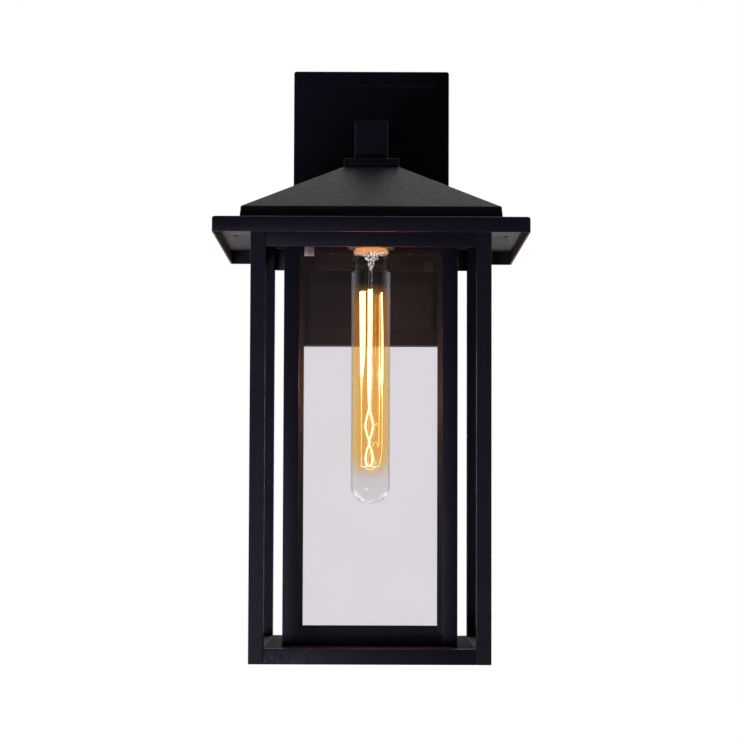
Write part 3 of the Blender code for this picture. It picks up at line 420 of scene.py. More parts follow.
# %% [markdown]
# ### The filament
# A vintage filament runs at a deep orange-white. Its threads are far thinner than they look, because
# the eye sees them dazzle. So the upper threads are made thicker than real, nearly white where they
# face the eye and orange at their edges, and the lower ones thin and dimmer. The light that the
# filament throws on the metal comes from a small lamp in the studio part, which is cleaner to render.


# %% Filament material
def hot_thread(name, core, edge, strength):
    """The core faces the eye; the edge is where the thread turns away and looks cooler."""
    thread = Finish(name)
    tone = thread.blend(thread.ramp(turned_away(thread), 0.12, 0.6), core, edge)
    surface = thread.principled(Base_Color=(0.3, 0.2, 0.1), Roughness=0.5, Emission_Color=tone,
                                Emission_Strength=strength)
    return thread.done(surface)


FILAMENT = hot_thread("glowing filament", (1.0, 0.82, 0.5), (0.16, 0.055, 0.007), 7.0)
DIMMER = hot_thread("dimmer filament", (1.0, 0.62, 0.24), (0.4, 0.17, 0.03), 3.0)

# %% [markdown]
# ## From shape to piece
# Every made piece starts as a mesh that is linked at the origin, with smooth faces and one material.
# It ends by riding on a body of the frame, and the plain nodes that it stands for are hidden.


# %% First steps and last step
def linked(name, data):
    """An object at the origin, in the scene."""
    thing = bpy.data.objects.new(name, data)
    bpy.context.scene.collection.objects.link(thing)
    return thing


def as_mesh(name, shape):
    mesh = bpy.data.meshes.new(name)
    shape.to_mesh(mesh)
    shape.free()
    return mesh


def smooth(mesh, sharp_angle):
    mesh.shade_smooth()
    mesh.set_sharp_from_angle(angle=math.radians(sharp_angle))


def place(piece, slot, *replaced, body="lantern"):
    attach(piece, body)
    if replaced:
        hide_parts(*replaced)
    print("piece:", piece.name, "faces:", len(piece.data.polygons))
    return piece


def add_mesh(name, mesh, material, sharp_angle=40):
    mesh.materials.clear()
    mesh.materials.append(material)
    smooth(mesh, sharp_angle)
    return linked(name, mesh)


def baked(piece):
    """Turn a piece's modifiers into plain mesh."""
    depsgraph = bpy.context.evaluated_depsgraph_get()
    mesh = bpy.data.meshes.new_from_object(piece.evaluated_get(depsgraph))
    piece.modifiers.clear()
    piece.data = mesh
    return piece


# %% [markdown]
# ## Sheet metal with soft bends
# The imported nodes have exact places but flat, sharp facets. Folded sheet and square tube have small
# round bends, and those catch the thin bright lines that draw the arm and the cap. A copy of the node
# is merged, its coplanar triangles are joined, and a Bevel modifier rounds what is left. The packed
# nodes stand a little apart where they are welded, so a rail is also lengthened by that gap.


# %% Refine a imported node
def merged_copy(node, flat_angle):
    """A node's mesh with its doubles merged and its coplanar triangles joined."""
    shape = bmesh.new()
    shape.from_mesh(nodes[node].data)
    bmesh.ops.remove_doubles(shape, verts=shape.verts, dist=0.001 * MM)
    bmesh.ops.dissolve_limit(shape, angle_limit=math.radians(flat_angle), verts=shape.verts,
                             edges=shape.edges)
    return shape


def refined(node, bend, material, segments=2, slot="black_powder_coat", reach=0.0):
    """A softened copy; reach lengthens both its ends."""
    shape = merged_copy(node, 0.5)
    low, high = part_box(node)
    along = max(range(3), key=lambda axis: high[axis] - low[axis])
    for vert in shape.verts:
        past_middle = vert.co[along] > (low[along] + high[along]) / 2
        vert.co[along] += reach if past_middle else -reach
    piece = add_mesh(node + "_soft", as_mesh(node + "_soft", shape), material)
    rounding = piece.modifiers.new("Bends", "BEVEL")
    rounding.width = bend
    rounding.segments = segments
    rounding.limit_method = "ANGLE"
    rounding.angle_limit = math.radians(25)
    smooth(baked(piece).data, 40)
    return place(piece, slot, node)


WELD_GAP = 0.3 * MM
SMALL_BEND = 0.25 * MM
PLATE_BEND = 0.3 * MM
# The duller coats paint shade: on the wall side, on the tray and rails under the eave, and on the low plate
# and rails.
for node, bend, coat in (("arm", SMALL_BEND, WALL_SHADED_BLACK), ("cap_block", SMALL_BEND, WALL_SHADED_BLACK),
                         ("backplate", PLATE_BEND, WALL_SHADED_BLACK), ("roof", PLATE_BEND, BLACK),
                         ("eave_tray", SMALL_BEND, SHELTERED_SHADED_BLACK),
                         ("bottom_plate", PLATE_BEND, LOW_SHADED_BLACK)):
    refined(node, bend, coat, segments=3)
for corner in ("front_left", "front_right", "back_left", "back_right"):
    refined("inner_post_" + corner, 0.2 * MM, SHELTERED_SHADED_BLACK)
for side in ("front", "back", "left", "right"):
    for rail, bend, coat in (("inner_bottom_rail_", SMALL_BEND, LOW_SHADED_BLACK),
                             ("inner_top_rail_", SMALL_BEND, SHELTERED_SHADED_BLACK),
                             ("bottom_rail_", PLATE_BEND, SHELTERED_SHADED_BLACK),
                             ("top_rail_", PLATE_BEND, SHELTERED_SHADED_BLACK)):
        refined(rail + side, bend, coat, reach=WELD_GAP)
for clip in ("glass_clip_back_left", "glass_clip_front_right"):
    refined(clip, SMALL_BEND, ZINC, segments=3, slot="zinc_plated_steel")

# %% [markdown]
# ## Nodes that stay
# The outer posts, the panes, the wall seal, the strap, the bridge and the socket's contact already
# have their true shape, so they keep their mesh and only get a finish.

# %% Finishes for the nodes that stay
by_finish = {
    BLACK: [name for name in nodes if name.startswith("outer_post_front")],
    # The back posts take the sheltered coat, whose lower shine paints shade on them.
    SHELTERED_SHADED_BLACK: [name for name in nodes if name.startswith("outer_post_back")],
    PANE: [name for name in nodes if name.startswith("glass_pane")],
    FOAM: ["wall_gasket"],
    ZINC: ["mounting_strap", "tray_bridge"],
    BRASS: ["socket_contact"],
}
for material, names in by_finish.items():
    for name in names:
        nodes[name].data.materials.clear()
        nodes[name].data.materials.append(material)
    print(material.name, "on", len(names), "nodes")

# %% [markdown]
# ## Turned pieces
# A bulb, a socket and a screw are all turned: one outline swept round an axis. A short function makes
# the grid of points, and a radius that may depend on the angle as well as the height turns the same
# function into a screw thread.


# %% Turning
def turned(name, outline, centre, material, steps=96, axis="Z", sharp_angle=40, wave=None):
    """Sweep (radius, height) points; wave(radius, height, angle) may change a radius.
    An outline that starts away from the axis is a closed loop."""
    shape = bmesh.new()
    rings = []
    for radius, height in outline:
        ring = []
        for step in range(steps if radius > 0 else 1):
            angle = 2 * math.pi * step / steps
            r = wave(radius, height, angle) if wave and radius > 0 else radius
            point = Vector((r * math.cos(angle), r * math.sin(angle), height))
            if axis == "Y":
                point = Vector((point.x, point.z, point.y))
            if axis == "X":
                point = Vector((point.z, point.x, point.y))
            ring.append(shape.verts.new(Vector(centre) + point))
        rings.append(ring)
    closed = outline[0][0] > 0
    for low, high in zip(rings, rings[1:] + (rings[:1] if closed else [])):
        for i in range(steps):
            j = (i + 1) % steps
            corners = [low[i % len(low)], low[j % len(low)], high[j % len(high)], high[i % len(high)]]
            unique = list(dict.fromkeys(corners))
            if len(unique) > 2:
                shape.faces.new(unique)
    bmesh.ops.recalc_face_normals(shape, faces=shape.faces)
    return add_mesh(name, as_mesh(name, shape), material, sharp_angle)


def arc(centre_r, centre_h, radius_r, radius_h, start, end, count):
    """Points of an elliptical arc, as (radius, height), with angles in degrees."""
    points = []
    for step in range(count + 1):
        angle = math.radians(start + (end - start) * step / count)
        points.append((centre_r + radius_r * math.cos(angle), centre_h + radius_h * math.sin(angle)))
    return points


# %% [markdown]
# ## The bulb's envelope
# Clear glass blown into a tube: a domed tip, a long straight run, and a shoulder drawn in to the neck
# that the cap is cemented to. The wall is 0.8 mm, so the outline goes up outside and down inside.

# %% The envelope
WALL = 0.8 * MM
DOME = 13.3 * MM
NECK_RADIUS = 11.7 * MM
NECK_TOP = glass_high[2]
NECK_BEND = 1.6 * MM
SHOULDER_LOW = BULB_TIP + 177 * MM
SHOULDER_HIGH = NECK_END - NECK_BEND
SHOULDER_DRAWN_IN = 1.6 * MM


def envelope_outline(inset):
    """From the tip to the top of the neck, inset from the outer face."""
    radius = BULB_RADIUS - inset
    neck = NECK_RADIUS - inset
    outline = [(0, BULB_TIP + inset)]
    outline += arc(0, BULB_TIP + DOME, radius, DOME - inset, -90, 0, 20)[1:]
    for step in range(13):
        t = step / 12
        outline.append((radius - SHOULDER_DRAWN_IN * t ** 2.5,
                        SHOULDER_LOW + (SHOULDER_HIGH - SHOULDER_LOW) * t))
    bend = radius - SHOULDER_DRAWN_IN - neck
    outline += arc(neck, SHOULDER_HIGH, bend, NECK_BEND - inset / 2, 15, 90, 6)
    outline.append((neck, NECK_TOP))
    return outline


bulb_axis = (BULB_X, BULB_Y, 0)
both_faces = envelope_outline(0) + envelope_outline(WALL)[::-1]
envelope = turned("bulb_envelope", both_faces, bulb_axis, BULB_GLASS)
place(envelope, "bulb_glass", "bulb_glass", body="bulb")

# %% [markdown]
# ## Rolled threads
# The bulb's cap and the socket's shell carry the same wide, rounded thread, pressed into thin sheet.
# Its surface is a cylinder whose radius rises and falls once for each pitch, with a phase that turns
# with the angle. That is the whole difference between rings and a thread that would really screw in.

# %% A rolled thread
PITCH = 3.63 * MM


def rolled(depth, low, high):
    """A wave that fades in and out over one pitch at each end."""
    def wave(radius, height, angle):
        fade = min(1, max(0, (height - low) / PITCH), max(0, (high - height) / PITCH))
        phase = 2 * math.pi * height / PITCH - angle
        return radius + depth * fade * math.cos(phase)
    return wave


def column(radius, low, high, count):
    return [(radius, low + (high - low) * step / count) for step in range(count + 1)]


# %% The bulb's cap
cap_low, cap_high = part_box("bulb_base")
CAP_TOP = cap_high[2]
CAP_RIM = cap_low[2]
CONTACT_HEIGHT = 5.2 * MM     # the black insulator and the contact stand this far above the metal
CORNER = 1.3 * MM
thread_top = CAP_TOP - CONTACT_HEIGHT
cap_outline = [(0, thread_top), (9.2 * MM, thread_top)]
cap_outline += arc(11.2 * MM, thread_top - CORNER, CORNER, CORNER, 90, 0, 6)
cap_outline += column(12.55 * MM, thread_top - 1.6 * MM, CAP_RIM + 0.8 * MM, 84)
cap_outline += [(12.5 * MM, CAP_RIM), (12.1 * MM, CAP_RIM), (12.0 * MM, CAP_RIM + MM)]
cap_outline += column(12.1 * MM, CAP_RIM + 2 * MM, thread_top - 2 * MM, 60)
cap_outline += [(0, thread_top - 1.5 * MM)]
cap_wave = rolled(0.4 * MM, CAP_RIM + MM, thread_top - MM)
place(turned("bulb_cap", cap_outline, bulb_axis, NICKEL, wave=cap_wave), "bulb_base_brass",
      "bulb_base", body="bulb")

# %% Insulator and contact
insulator_foot = thread_top + 0.05 * MM
insulator = [(0, insulator_foot), (9 * MM, insulator_foot)]
insulator += arc(4.4 * MM, insulator_foot, 4.6 * MM, 3.4 * MM, 5, 90, 8)
insulator += [(0, thread_top + 3.45 * MM)]
place(turned("bulb_cap_insulator", insulator, bulb_axis, BLACK_SLEEVE), "black_sleeve", body="bulb")
button = [(0, thread_top + 3.5 * MM), (4.4 * MM, thread_top + 3.5 * MM)]
button += arc(3.2 * MM, thread_top + 3.8 * MM, 1.2 * MM, 1.35 * MM, 0, 90, 6)
button += [(0, CAP_TOP)]
place(turned("bulb_cap_contact", button, bulb_axis, NICKEL), "bulb_base_brass", body="bulb")

# %% The socket's shell
shell_low, shell_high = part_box("socket_shell")
SHELL_RADIUS = (shell_high[0] - shell_low[0]) / 2
SHELL_MOUTH = shell_low[2]
SHELL_TOP = shell_high[2]
SHELL_SHEET = 0.5 * MM
shell_outline = column(SHELL_RADIUS - 0.45 * MM, SHELL_MOUTH, SHELL_TOP - MM, 80)
shell_outline += [(SHELL_RADIUS - 0.8 * MM, SHELL_TOP), (8.5 * MM, SHELL_TOP)]
shell_outline += [(8.5 * MM, SHELL_TOP - SHELL_SHEET), (SHELL_RADIUS - 1.3 * MM, SHELL_TOP - SHELL_SHEET)]
shell_outline += column(SHELL_RADIUS - 0.95 * MM, SHELL_TOP - 1.2 * MM, SHELL_MOUTH, 80)
shell_wave = rolled(0.35 * MM, SHELL_MOUTH + 0.5 * MM, SHELL_TOP - 2 * MM)
place(turned("socket_shell_rolled", shell_outline, bulb_axis, BRASS, wave=shell_wave), "socket_brass",
      "socket_shell")

# %% [markdown]
# ## The glass stem
# Inside the neck a flared glass tube is pinched round the two lead wires and ends in a crown, where
# the thin support wires are gripped. It is turned too, with a wave of five lobes at the crown. The
# orange cement behind it and the folds where the neck meets the cap are turned in the same way.

# %% Stem
stem_low, stem_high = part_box("bulb_stem")
STEM_FOOT = stem_low[2]
STEM_TOP = stem_high[2]
CROWN = STEM_FOOT + 9.4 * MM
FLARE = NECK_RADIUS - WALL - 0.3 * MM
SUPPORTS = 5
stem_outline = [(0, STEM_TOP), (FLARE, STEM_TOP), (FLARE, STEM_TOP - 0.8 * MM)]
stem_outline += arc(FLARE, STEM_TOP - 15 * MM, FLARE - 3.2 * MM, 13.6 * MM, 96, 180, 14)
stem_outline += arc(2.4 * MM, CROWN, 2.2 * MM, 1.7 * MM, 80, -80, 10)
stem_outline += arc(1.7 * MM, STEM_FOOT + 5.2 * MM, 0.9 * MM, 1.6 * MM, 80, -80, 8)
stem_outline += [(1.3 * MM, STEM_FOOT + 2.4 * MM), (1.0 * MM, STEM_FOOT + 0.5 * MM), (0, STEM_FOOT)]


def petals(radius, height, angle):
    """Five lobes round the crown, one for each support wire."""
    near_crown = max(0, 1 - abs(height - CROWN) / (2 * MM))
    return radius * (1 + 0.28 * near_crown * math.cos(SUPPORTS * angle))


stem = turned("stem_glass", stem_outline, bulb_axis, STEM_GLASS, steps=60, wave=petals)
place(stem, "bulb_glass", "bulb_stem", body="bulb")
print("stem foot from the tip:", STEM_FOOT - BULB_TIP, "top", STEM_TOP)

# %% Cement and folds
cement = [(3.4 * MM, NECK_END + MM), (10.7 * MM, NECK_END + MM), (10.7 * MM, NECK_END + 2 * MM),
          (3.4 * MM, NECK_END + 2 * MM)]
place(turned("base_cement", cement, bulb_axis, CEMENT, steps=64), "bulb_base_brass", body="bulb")
folds = [(11.0 * MM, NECK_END - 0.4 * MM)]
folds += arc(11.0 * MM, NECK_END - 2.4 * MM, 1.9 * MM, 2 * MM, 60, -40, 8)
folds += [(11.6 * MM, NECK_END - 3.2 * MM), (11.4 * MM, NECK_END - 2 * MM)]
place(turned("neck_folds", folds, bulb_axis, RIM_GLASS, steps=64), "bulb_glass", body="bulb")

# %% [markdown]
# ## Geometry Nodes trees
# What follows a path or repeats is made by a tree of nodes with named inputs. Every tree starts with
# those inputs, and ends by making its instances real and giving the result its material. A modifier
# runs the tree on a piece, and its result is kept as plain mesh.


# %% Open, close and run a tree
class Maker(Tree):
    """A Geometry Nodes tree; inputs says the kind of socket of each named input."""

    def __init__(self, name, inputs):
        super().__init__(bpy.data.node_groups.new(name, "GeometryNodeTree"))
        self.identifiers = {}
        for label, kind in inputs.items():
            socket = self.group.interface.new_socket(label, in_out="INPUT", socket_type="NodeSocket" + kind)
            self.identifiers[label] = socket.identifier
        self.group.interface.new_socket("Geometry", in_out="OUTPUT", socket_type="NodeSocketGeometry")
        self.given = self.add("NodeGroupInput")

    def close(self, geometry):
        single = self.add("GeometryNodeRealizeInstances", {}, {"Geometry": geometry})
        painted = self.add("GeometryNodeSetMaterial", {},
                           {"Geometry": single, "Material": self.given.output("Material")})
        self.add("NodeGroupOutput", {}, {"Geometry": painted})
        return self

    def run(self, piece, values):
        modifier = piece.modifiers.new(self.group.name, "NODES")
        modifier.node_group = self.group
        for label, value in values.items():
            modifier[self.identifiers[label]] = value
        return baked(piece)


# %% [markdown]
# ## A thread along a path
# Filament, leads, supports and sleeves are all a round section swept along a line. One tree does it:
# the edges of a mesh become curves, a spline type rounds them, resampling spaces the rings evenly,
# and Curve to Mesh sweeps a circle.


# %% Sweep tree
def sweep_tree():
    tree = Maker("Sweep along paths", {"Geometry": "Geometry", "Radius": "Float", "Spacing": "Float",
                                       "Sides": "Int", "Material": "Material"})
    given = tree.given
    curves = tree.add("GeometryNodeMeshToCurve", {}, {"Mesh": given.output("Geometry")})
    rounded = tree.add("GeometryNodeCurveSplineType", {"spline_type": "CATMULL_ROM"}, {"Curve": curves})
    even = tree.add("GeometryNodeResampleCurve", {"mode": "LENGTH"},
                    {"Curve": rounded, "Length": given.output("Spacing")})
    circle = tree.add("GeometryNodeCurvePrimitiveCircle", {"mode": "RADIUS"},
                      {"Resolution": given.output("Sides"), "Radius": given.output("Radius")})
    return tree.close(tree.add("GeometryNodeCurveToMesh", {},
                               {"Curve": even, "Profile Curve": circle, "Fill Caps": True}))


SWEEP = sweep_tree()


def swept(name, routes, radius, material, spacing=0.8 * MM, sides=8):
    """Tubes along routes, each a list of points in the frame."""
    mesh = bpy.data.meshes.new(name)
    points = []
    edges = []
    for route in routes:
        start = len(points)
        points += [tuple(point) for point in route]
        edges += [(start + i, start + i + 1) for i in range(len(route) - 1)]
    mesh.from_pydata(points, edges, [])
    piece = linked(name, mesh)
    SWEEP.run(piece, {"Radius": radius, "Spacing": spacing, "Sides": sides, "Material": material})
    smooth(piece.data, 60)
    return piece


# %% [markdown]
# ## Threads of the filament
# The threads hang between the crown and a cross tie near the tip: a few close together on the left, a
# doubled one in the middle that crosses itself twice in the lower third, and one on the right with a
# loose loop beside it. Each route is a few points, in millimetres from the axis and from the tip. The
# bright routes dazzle, so they are swept thick, and the fine ones are swept thin in the dimmer finish.


# %% Filament threads
def from_tip(points):
    return [Vector((BULB_X + x * MM, BULB_Y + y * MM, BULB_TIP + z * MM)) for x, y, z in points]


def hung(x_top, x_foot, y, bow=0.0, top=TOP, foot=FOOT):
    """A nearly straight thread with a slight bow."""
    route = []
    for step in range(9):
        t = step / 8
        x = x_top + (x_foot - x_top) * t + bow * math.sin(math.pi * t)
        route.append((x, y, top + (foot - top) * t))
    return from_tip(route)


def crossing(side, y):
    """Half of the middle pair: straight down, then twice out and back in."""
    route = [(-0.5 + side * 1.2, y, TOP), (-0.6 + side * 1.1, y, 135), (-0.8 + side * 0.8, y, 100)]
    for z, out in ((80, 0.4), (73, 0.2), (67, 1.6), (60, 2.9), (54, 1.9), (49, 0.3), (46.5, -0.4),
                   (42, 1.4), (36, 2.6), (31, 2.2), (28.6, 0.8)):
        route.append((-1.0 + side * out, y + side * 0.5, z))
    return from_tip(route)


bright = [
    hung(-8.1, -7.4, 1.2, top=TOP - 2, foot=99), hung(-7.0, -7.2, 2.6, top=TOP - 2, foot=101),
    from_tip([(-5.9, 3.4, TOP - 2), (-5.9, 3.2, 130), (-6.0, 2.8, 114), (-7.0, 2.2, 99)]),
    from_tip([(-4.9, -1.0, TOP - 2), (-4.8, -0.9, 135), (-5.0, -0.6, 116), (-6.0, 0.0, 105),
              (-7.1, 0.6, 97)]),
    crossing(-1, 0.0), crossing(1, 0.0), hung(-0.6, -0.9, 3.0, foot=96),
    hung(8.2, 8.9, 0.4, bow=0.4, top=TOP - 2.5, foot=92),
]
fine = [
    hung(-7.2, -6.9, 1.0, top=99), hung(8.9, 8.8, 0.4, bow=0.2, top=92, foot=41),
    from_tip([(8.8, 0.4, 41), (8.4, 0.4, 37), (7.2, 0.3, 31.5), (6.6, 0.2, 28.6)]),
    hung(7.0, 6.4, 3.4, bow=0.3, top=TOP - 4, foot=44),
    from_tip([(-6.9, 1.0, 28.5), (-5, 0.4, 28.3), (-1, 0, 28.8), (3, 0, 28.4), (6.6, 0.2, 28.6)]),
    from_tip([(-4.2, 0.6, 28.4), (-2.4, 0.4, 26.6), (0.2, 0.2, 26.2), (2.6, 0.2, 27.2), (4.4, 0.4, 28.4)]),
    from_tip([(1.2, 0.5, 60.6), (2.4, 0.4, 60.0), (3.8, 0.4, 60.4), (5.2, 0.3, 61.8)]),
    from_tip([(2.0, 0.5, 44.2), (2.6, 0.4, 46.2), (4.0, 0.4, 47.4), (5.3, 0.3, 46.2), (5.4, 0.3, 43.6)]),
    from_tip([(1.6, 0.6, 39.5), (2.6, 0.4, 35), (3.8, 0.2, 31.4), (4.8, 0.2, 30.4)]),
    from_tip([(-8.6, 1.2, TOP - 2), (-6.6, 0.8, TOP - 1.4), (-3.6, 0.2, TOP - 1.8)]),
]
place(swept("filament_threads", bright, 0.72 * MM, FILAMENT), "filament_wire", "filament", body="bulb")
place(swept("fine_threads", fine, 0.27 * MM, DIMMER), "filament_wire", body="bulb")

# %% Lead wires and supports
leads = []
for x in (-1.6, 0.8):
    leads.append(from_tip([(x * 0.8, 0, 182), (x, 0, 176), (x * 1.05, 0, 170), (x, 0.2, TOP - 0.4)]))
leads.append(from_tip([(0, 0, 181), (0.4, 2.2, 172), (0.2, 3.0, 120), (0, 2.6, 70), (-0.4, 1.4, 30)]))
supports = []
for turn in range(SUPPORTS):
    angle = 2 * math.pi * (turn + 0.25) / SUPPORTS
    x, y = math.cos(angle) * 8.4, math.sin(angle) * 3.6
    supports.append(from_tip([(x * out, y * out, z) for out, z in
                              ((0.12, 180.5), (0.5, 176), (0.92, 168.5), (1, 165.4))]))
place(swept("filament_leads", leads, 0.24 * MM, NICKEL), "bulb_base_brass", body="bulb")
place(swept("filament_hooks", supports, 0.08 * MM, SCREW_BLACK, sides=6), "bulb_base_brass", body="bulb")

# %% [markdown]
# ## Nipples, nuts and screws
# Two hollow nipples carry the leads and clamp the lantern together. Each keeps its plain bore and gets
# a real wound thread: a pointed ridge that follows a helix. A spiral curve and a four-sided profile,
# half of it sunk in the pipe, make the ridge, and pitch and radius are inputs of the tree.


# %% Wound thread tree
def thread_tree():
    tree = Maker("Wound thread", {"Radius": "Float", "Length": "Float", "Pitch": "Float",
                                  "Material": "Material"})
    given = tree.given
    pitch = given.output("Pitch")
    turns = given.output("Length") / pitch
    spiral = tree.add("GeometryNodeCurveSpiral", {}, {
        "Resolution": 28, "Rotations": turns, "Start Radius": given.output("Radius"),
        "End Radius": given.output("Radius"), "Height": given.output("Length")})
    profile = tree.add("GeometryNodeCurvePrimitiveCircle", {"mode": "RADIUS"},
                       {"Resolution": 4, "Radius": pitch * 0.5})
    return tree.close(tree.add("GeometryNodeCurveToMesh", {},
                               {"Curve": spiral, "Profile Curve": profile, "Fill Caps": True}))


THREAD = thread_tree()


def wound(name, radius, length, pitch, material, move):
    """A wound ridge of that length, moved to its place by the matrix."""
    piece = add_mesh(name, bpy.data.meshes.new(name), material)
    THREAD.run(piece, {"Radius": radius, "Length": length, "Pitch": pitch, "Material": material})
    piece.data.transform(move)
    return piece


def lower_end(node, axis):
    """The middle of a node's lower end along an axis, and its length that way."""
    low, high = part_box(node)
    index = "XYZ".index(axis)
    end = [(low[i] + high[i]) / 2 for i in range(3)]
    end[index] = low[index]
    return end, high[index] - low[index]


NIPPLE_CORE = 4.45 * MM
NIPPLE_BORE = 3.5 * MM
NIPPLE_PITCH = 0.94 * MM
for node, axis in (("arm_nipple", "Y"), ("roof_nipple", "Z")):
    start, length = lower_end(node, axis)
    pipe = [(NIPPLE_CORE, 0), (NIPPLE_CORE, length), (NIPPLE_BORE, length), (NIPPLE_BORE, 0)]
    place(turned(node + "_core", pipe, start, ZINC, steps=48, axis=axis), "zinc_plated_steel", node)
    turn_over = Matrix.Rotation(math.radians(-90 if axis == "Y" else 0), 4, "X")
    start["XYZ".index(axis)] += NIPPLE_PITCH
    ridge = wound(node + "_thread", NIPPLE_CORE, length - 2 * NIPPLE_PITCH, NIPPLE_PITCH, ZINC,
                  Matrix.Translation(start) @ turn_over)
    place(ridge, "zinc_plated_steel")

# %% [markdown]
# A hex nut is a six-sided prism whose corners are turned off by a cone at both ends. The radius of
# each ring is the hexagon's, limited by the cone at that height, so the curved chamfer lines come out
# by themselves.


# %% Nuts
NUT_FLATS = 14 * MM
NUT_THICK = 4 * MM
NUT_CHAMFER = 0.4 * MM
NIPPLE_HOLE = 5.1 * MM        # the radius of a hole that the nipple's thread fills


def six_sided(radius, height, angle):
    """The hexagon's radius, cut off by a cone at each face; the bore stays round."""
    if radius < NUT_FLATS * 0.45:
        return radius
    hexagon = NUT_FLATS / 2 / math.cos((angle + math.pi / 6) % (math.pi / 3) - math.pi / 6)
    cone = NUT_FLATS / 2 * 0.98 + min(height, NUT_THICK - height) * 1.7
    return min(hexagon, cone)


for node, axis in (("arm_nut", "Y"), ("bridge_nut", "Z")):
    heights = [0, 0.05, 0.1, 0.175, 0.25, 0.5, 0.75, 0.825, 0.9, 0.95, 1.0]
    outline = [(NUT_FLATS / 2, share * NUT_THICK) for share in heights]
    outline += [(NIPPLE_HOLE + NUT_CHAMFER, NUT_THICK), (NIPPLE_HOLE, NUT_THICK - NUT_CHAMFER)]
    outline += [(NIPPLE_HOLE, NUT_CHAMFER), (NIPPLE_HOLE + NUT_CHAMFER, 0)]
    nut = turned(node + "_faced", outline, lower_end(node, axis)[0], ZINC, steps=72, axis=axis,
                 wave=six_sided, sharp_angle=25)
    place(nut, "zinc_plated_steel", node)

# %% [markdown]
# Screws are pan heads with a cross recess. The head is turned, and a Boolean with two crossed wedges
# sinks the recess, which reads as a real screw from any side. The shank gets the same wound thread.


# %% Screws
SHANK = 1.75 * MM             # the shank's radius at the foot of its thread
HEAD_EDGE = 1.6 * MM


def pan_screw(node, axis, sign, head, head_height, material, slot):
    """sign is the way the shank points along the axis."""
    start, whole = lower_end(node, axis)
    length = whole - head_height
    dome = head_height * 0.72
    outline = [(0, 0), (head * 0.2, 0)] + arc(head / 2 - HEAD_EDGE, dome, HEAD_EDGE, dome, -90, 0, 8)
    outline += [(head / 2, head_height), (SHANK, head_height), (SHANK, whole - 0.5 * MM),
                (SHANK * 0.5, whole), (0, whole)]
    screw = turned(node + "_pan", outline, (0, 0, 0), material, steps=48)
    cutter = bmesh.new()
    for width, depth in ((head * 0.46, head * 0.12), (head * 0.12, head * 0.46)):
        blade = bmesh.ops.create_cube(cutter, size=1)["verts"]
        for vert in blade:
            sunk = 0.55 if vert.co.z > 0 else 1.0
            vert.co = Vector((vert.co.x * width * sunk, vert.co.y * depth * sunk, vert.co.z * head_height))
    cross = linked("cross", as_mesh("cross", cutter))
    recess = screw.modifiers.new("Recess", "BOOLEAN")
    recess.object = cross
    recess.use_self = True
    baked(screw)
    bpy.data.objects.remove(cross, do_unlink=True)
    screw.data.set_sharp_from_angle(angle=math.radians(35))
    turn_to = {"X": Matrix.Rotation(math.radians(90 * sign), 4, "Y"),
               "Y": Matrix.Rotation(math.radians(-90 * sign), 4, "X"),
               "Z": Matrix.Rotation(math.radians(0 if sign > 0 else 180), 4, "X")}[axis]
    if sign < 0:
        start["XYZ".index(axis)] += whole
    move = Matrix.Translation(start) @ turn_to
    screw.data.transform(move)
    place(screw, slot, node)
    shift = Matrix.Translation((0, 0, head_height + 0.6 * MM))
    ridge = wound(node + "_thread", SHANK, length - 1.3 * MM, 0.7 * MM, material, move @ shift)
    place(ridge, slot)


for hand, sign in (("left", 1), ("right", -1)):
    pan_screw("backplate_screw_" + hand, "X", sign, 8 * MM, 2.6 * MM, SCREW_BLACK, "black_screw")
for hand in ("left", "right"):
    pan_screw("bridge_screw_" + hand, "Z", -1, 7.4 * MM, 2.4 * MM, ZINC, "zinc_plated_steel")
pan_screw("ground_screw", "Y", 1, 8 * MM, 2.4 * MM, GREEN_SCREW, "green_screw")

# %% [markdown]
# ## Socket
# The black body is turned: a thick wall round the thread, a shoulder, and a neck that takes the
# nipple. Its edges are rounded as the mould leaves them, and its mouth is what shows over the bulb.

# %% Socket body
body_low, body_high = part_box("socket_body")
BODY_RADIUS = (body_high[0] - body_low[0]) / 2
BODY_BORE = BODY_RADIUS - 3.5 * MM
BODY_MOUTH = body_low[2]
BODY_TOP = body_high[2]
BODY_FLOOR = SHELL_TOP + 0.3 * MM
BODY_NECK = 10 * MM
LIP = 1.4 * MM
SHOULDER = 2.5 * MM
NIPPLE_SEAT = BODY_TOP - 5.8 * MM
moulding = [(BODY_BORE, BODY_MOUTH + 0.6 * MM), (BODY_BORE + 0.5 * MM, BODY_MOUTH)]
moulding += arc(BODY_RADIUS - LIP, BODY_MOUTH + LIP, LIP, LIP, -90, 0, 6)
moulding += arc(BODY_RADIUS - SHOULDER, BODY_FLOOR - 2 * MM, SHOULDER, SHOULDER, 0, 60, 6)
moulding += [(BODY_NECK + 0.6 * MM, BODY_FLOOR + 3 * MM), (BODY_NECK, BODY_FLOOR + 4 * MM)]
moulding += arc(BODY_NECK - MM, BODY_TOP - MM, MM, MM, 0, 90, 5)
moulding += [(NIPPLE_HOLE, BODY_TOP), (NIPPLE_HOLE, NIPPLE_SEAT), (NIPPLE_BORE, NIPPLE_SEAT)]
moulding += [(NIPPLE_BORE, BODY_FLOOR), (BODY_BORE, BODY_FLOOR)]
place(turned("socket_moulding", moulding, bulb_axis, MOULDING, steps=72), "socket_black", "socket_body")

# %% [markdown]
# ## Wiring
# The supply leads run from their twist-on caps behind the plate, through both nipples and the arm, to
# the socket. They are held all the way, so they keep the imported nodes' own route, swept again with a
# rounder section.


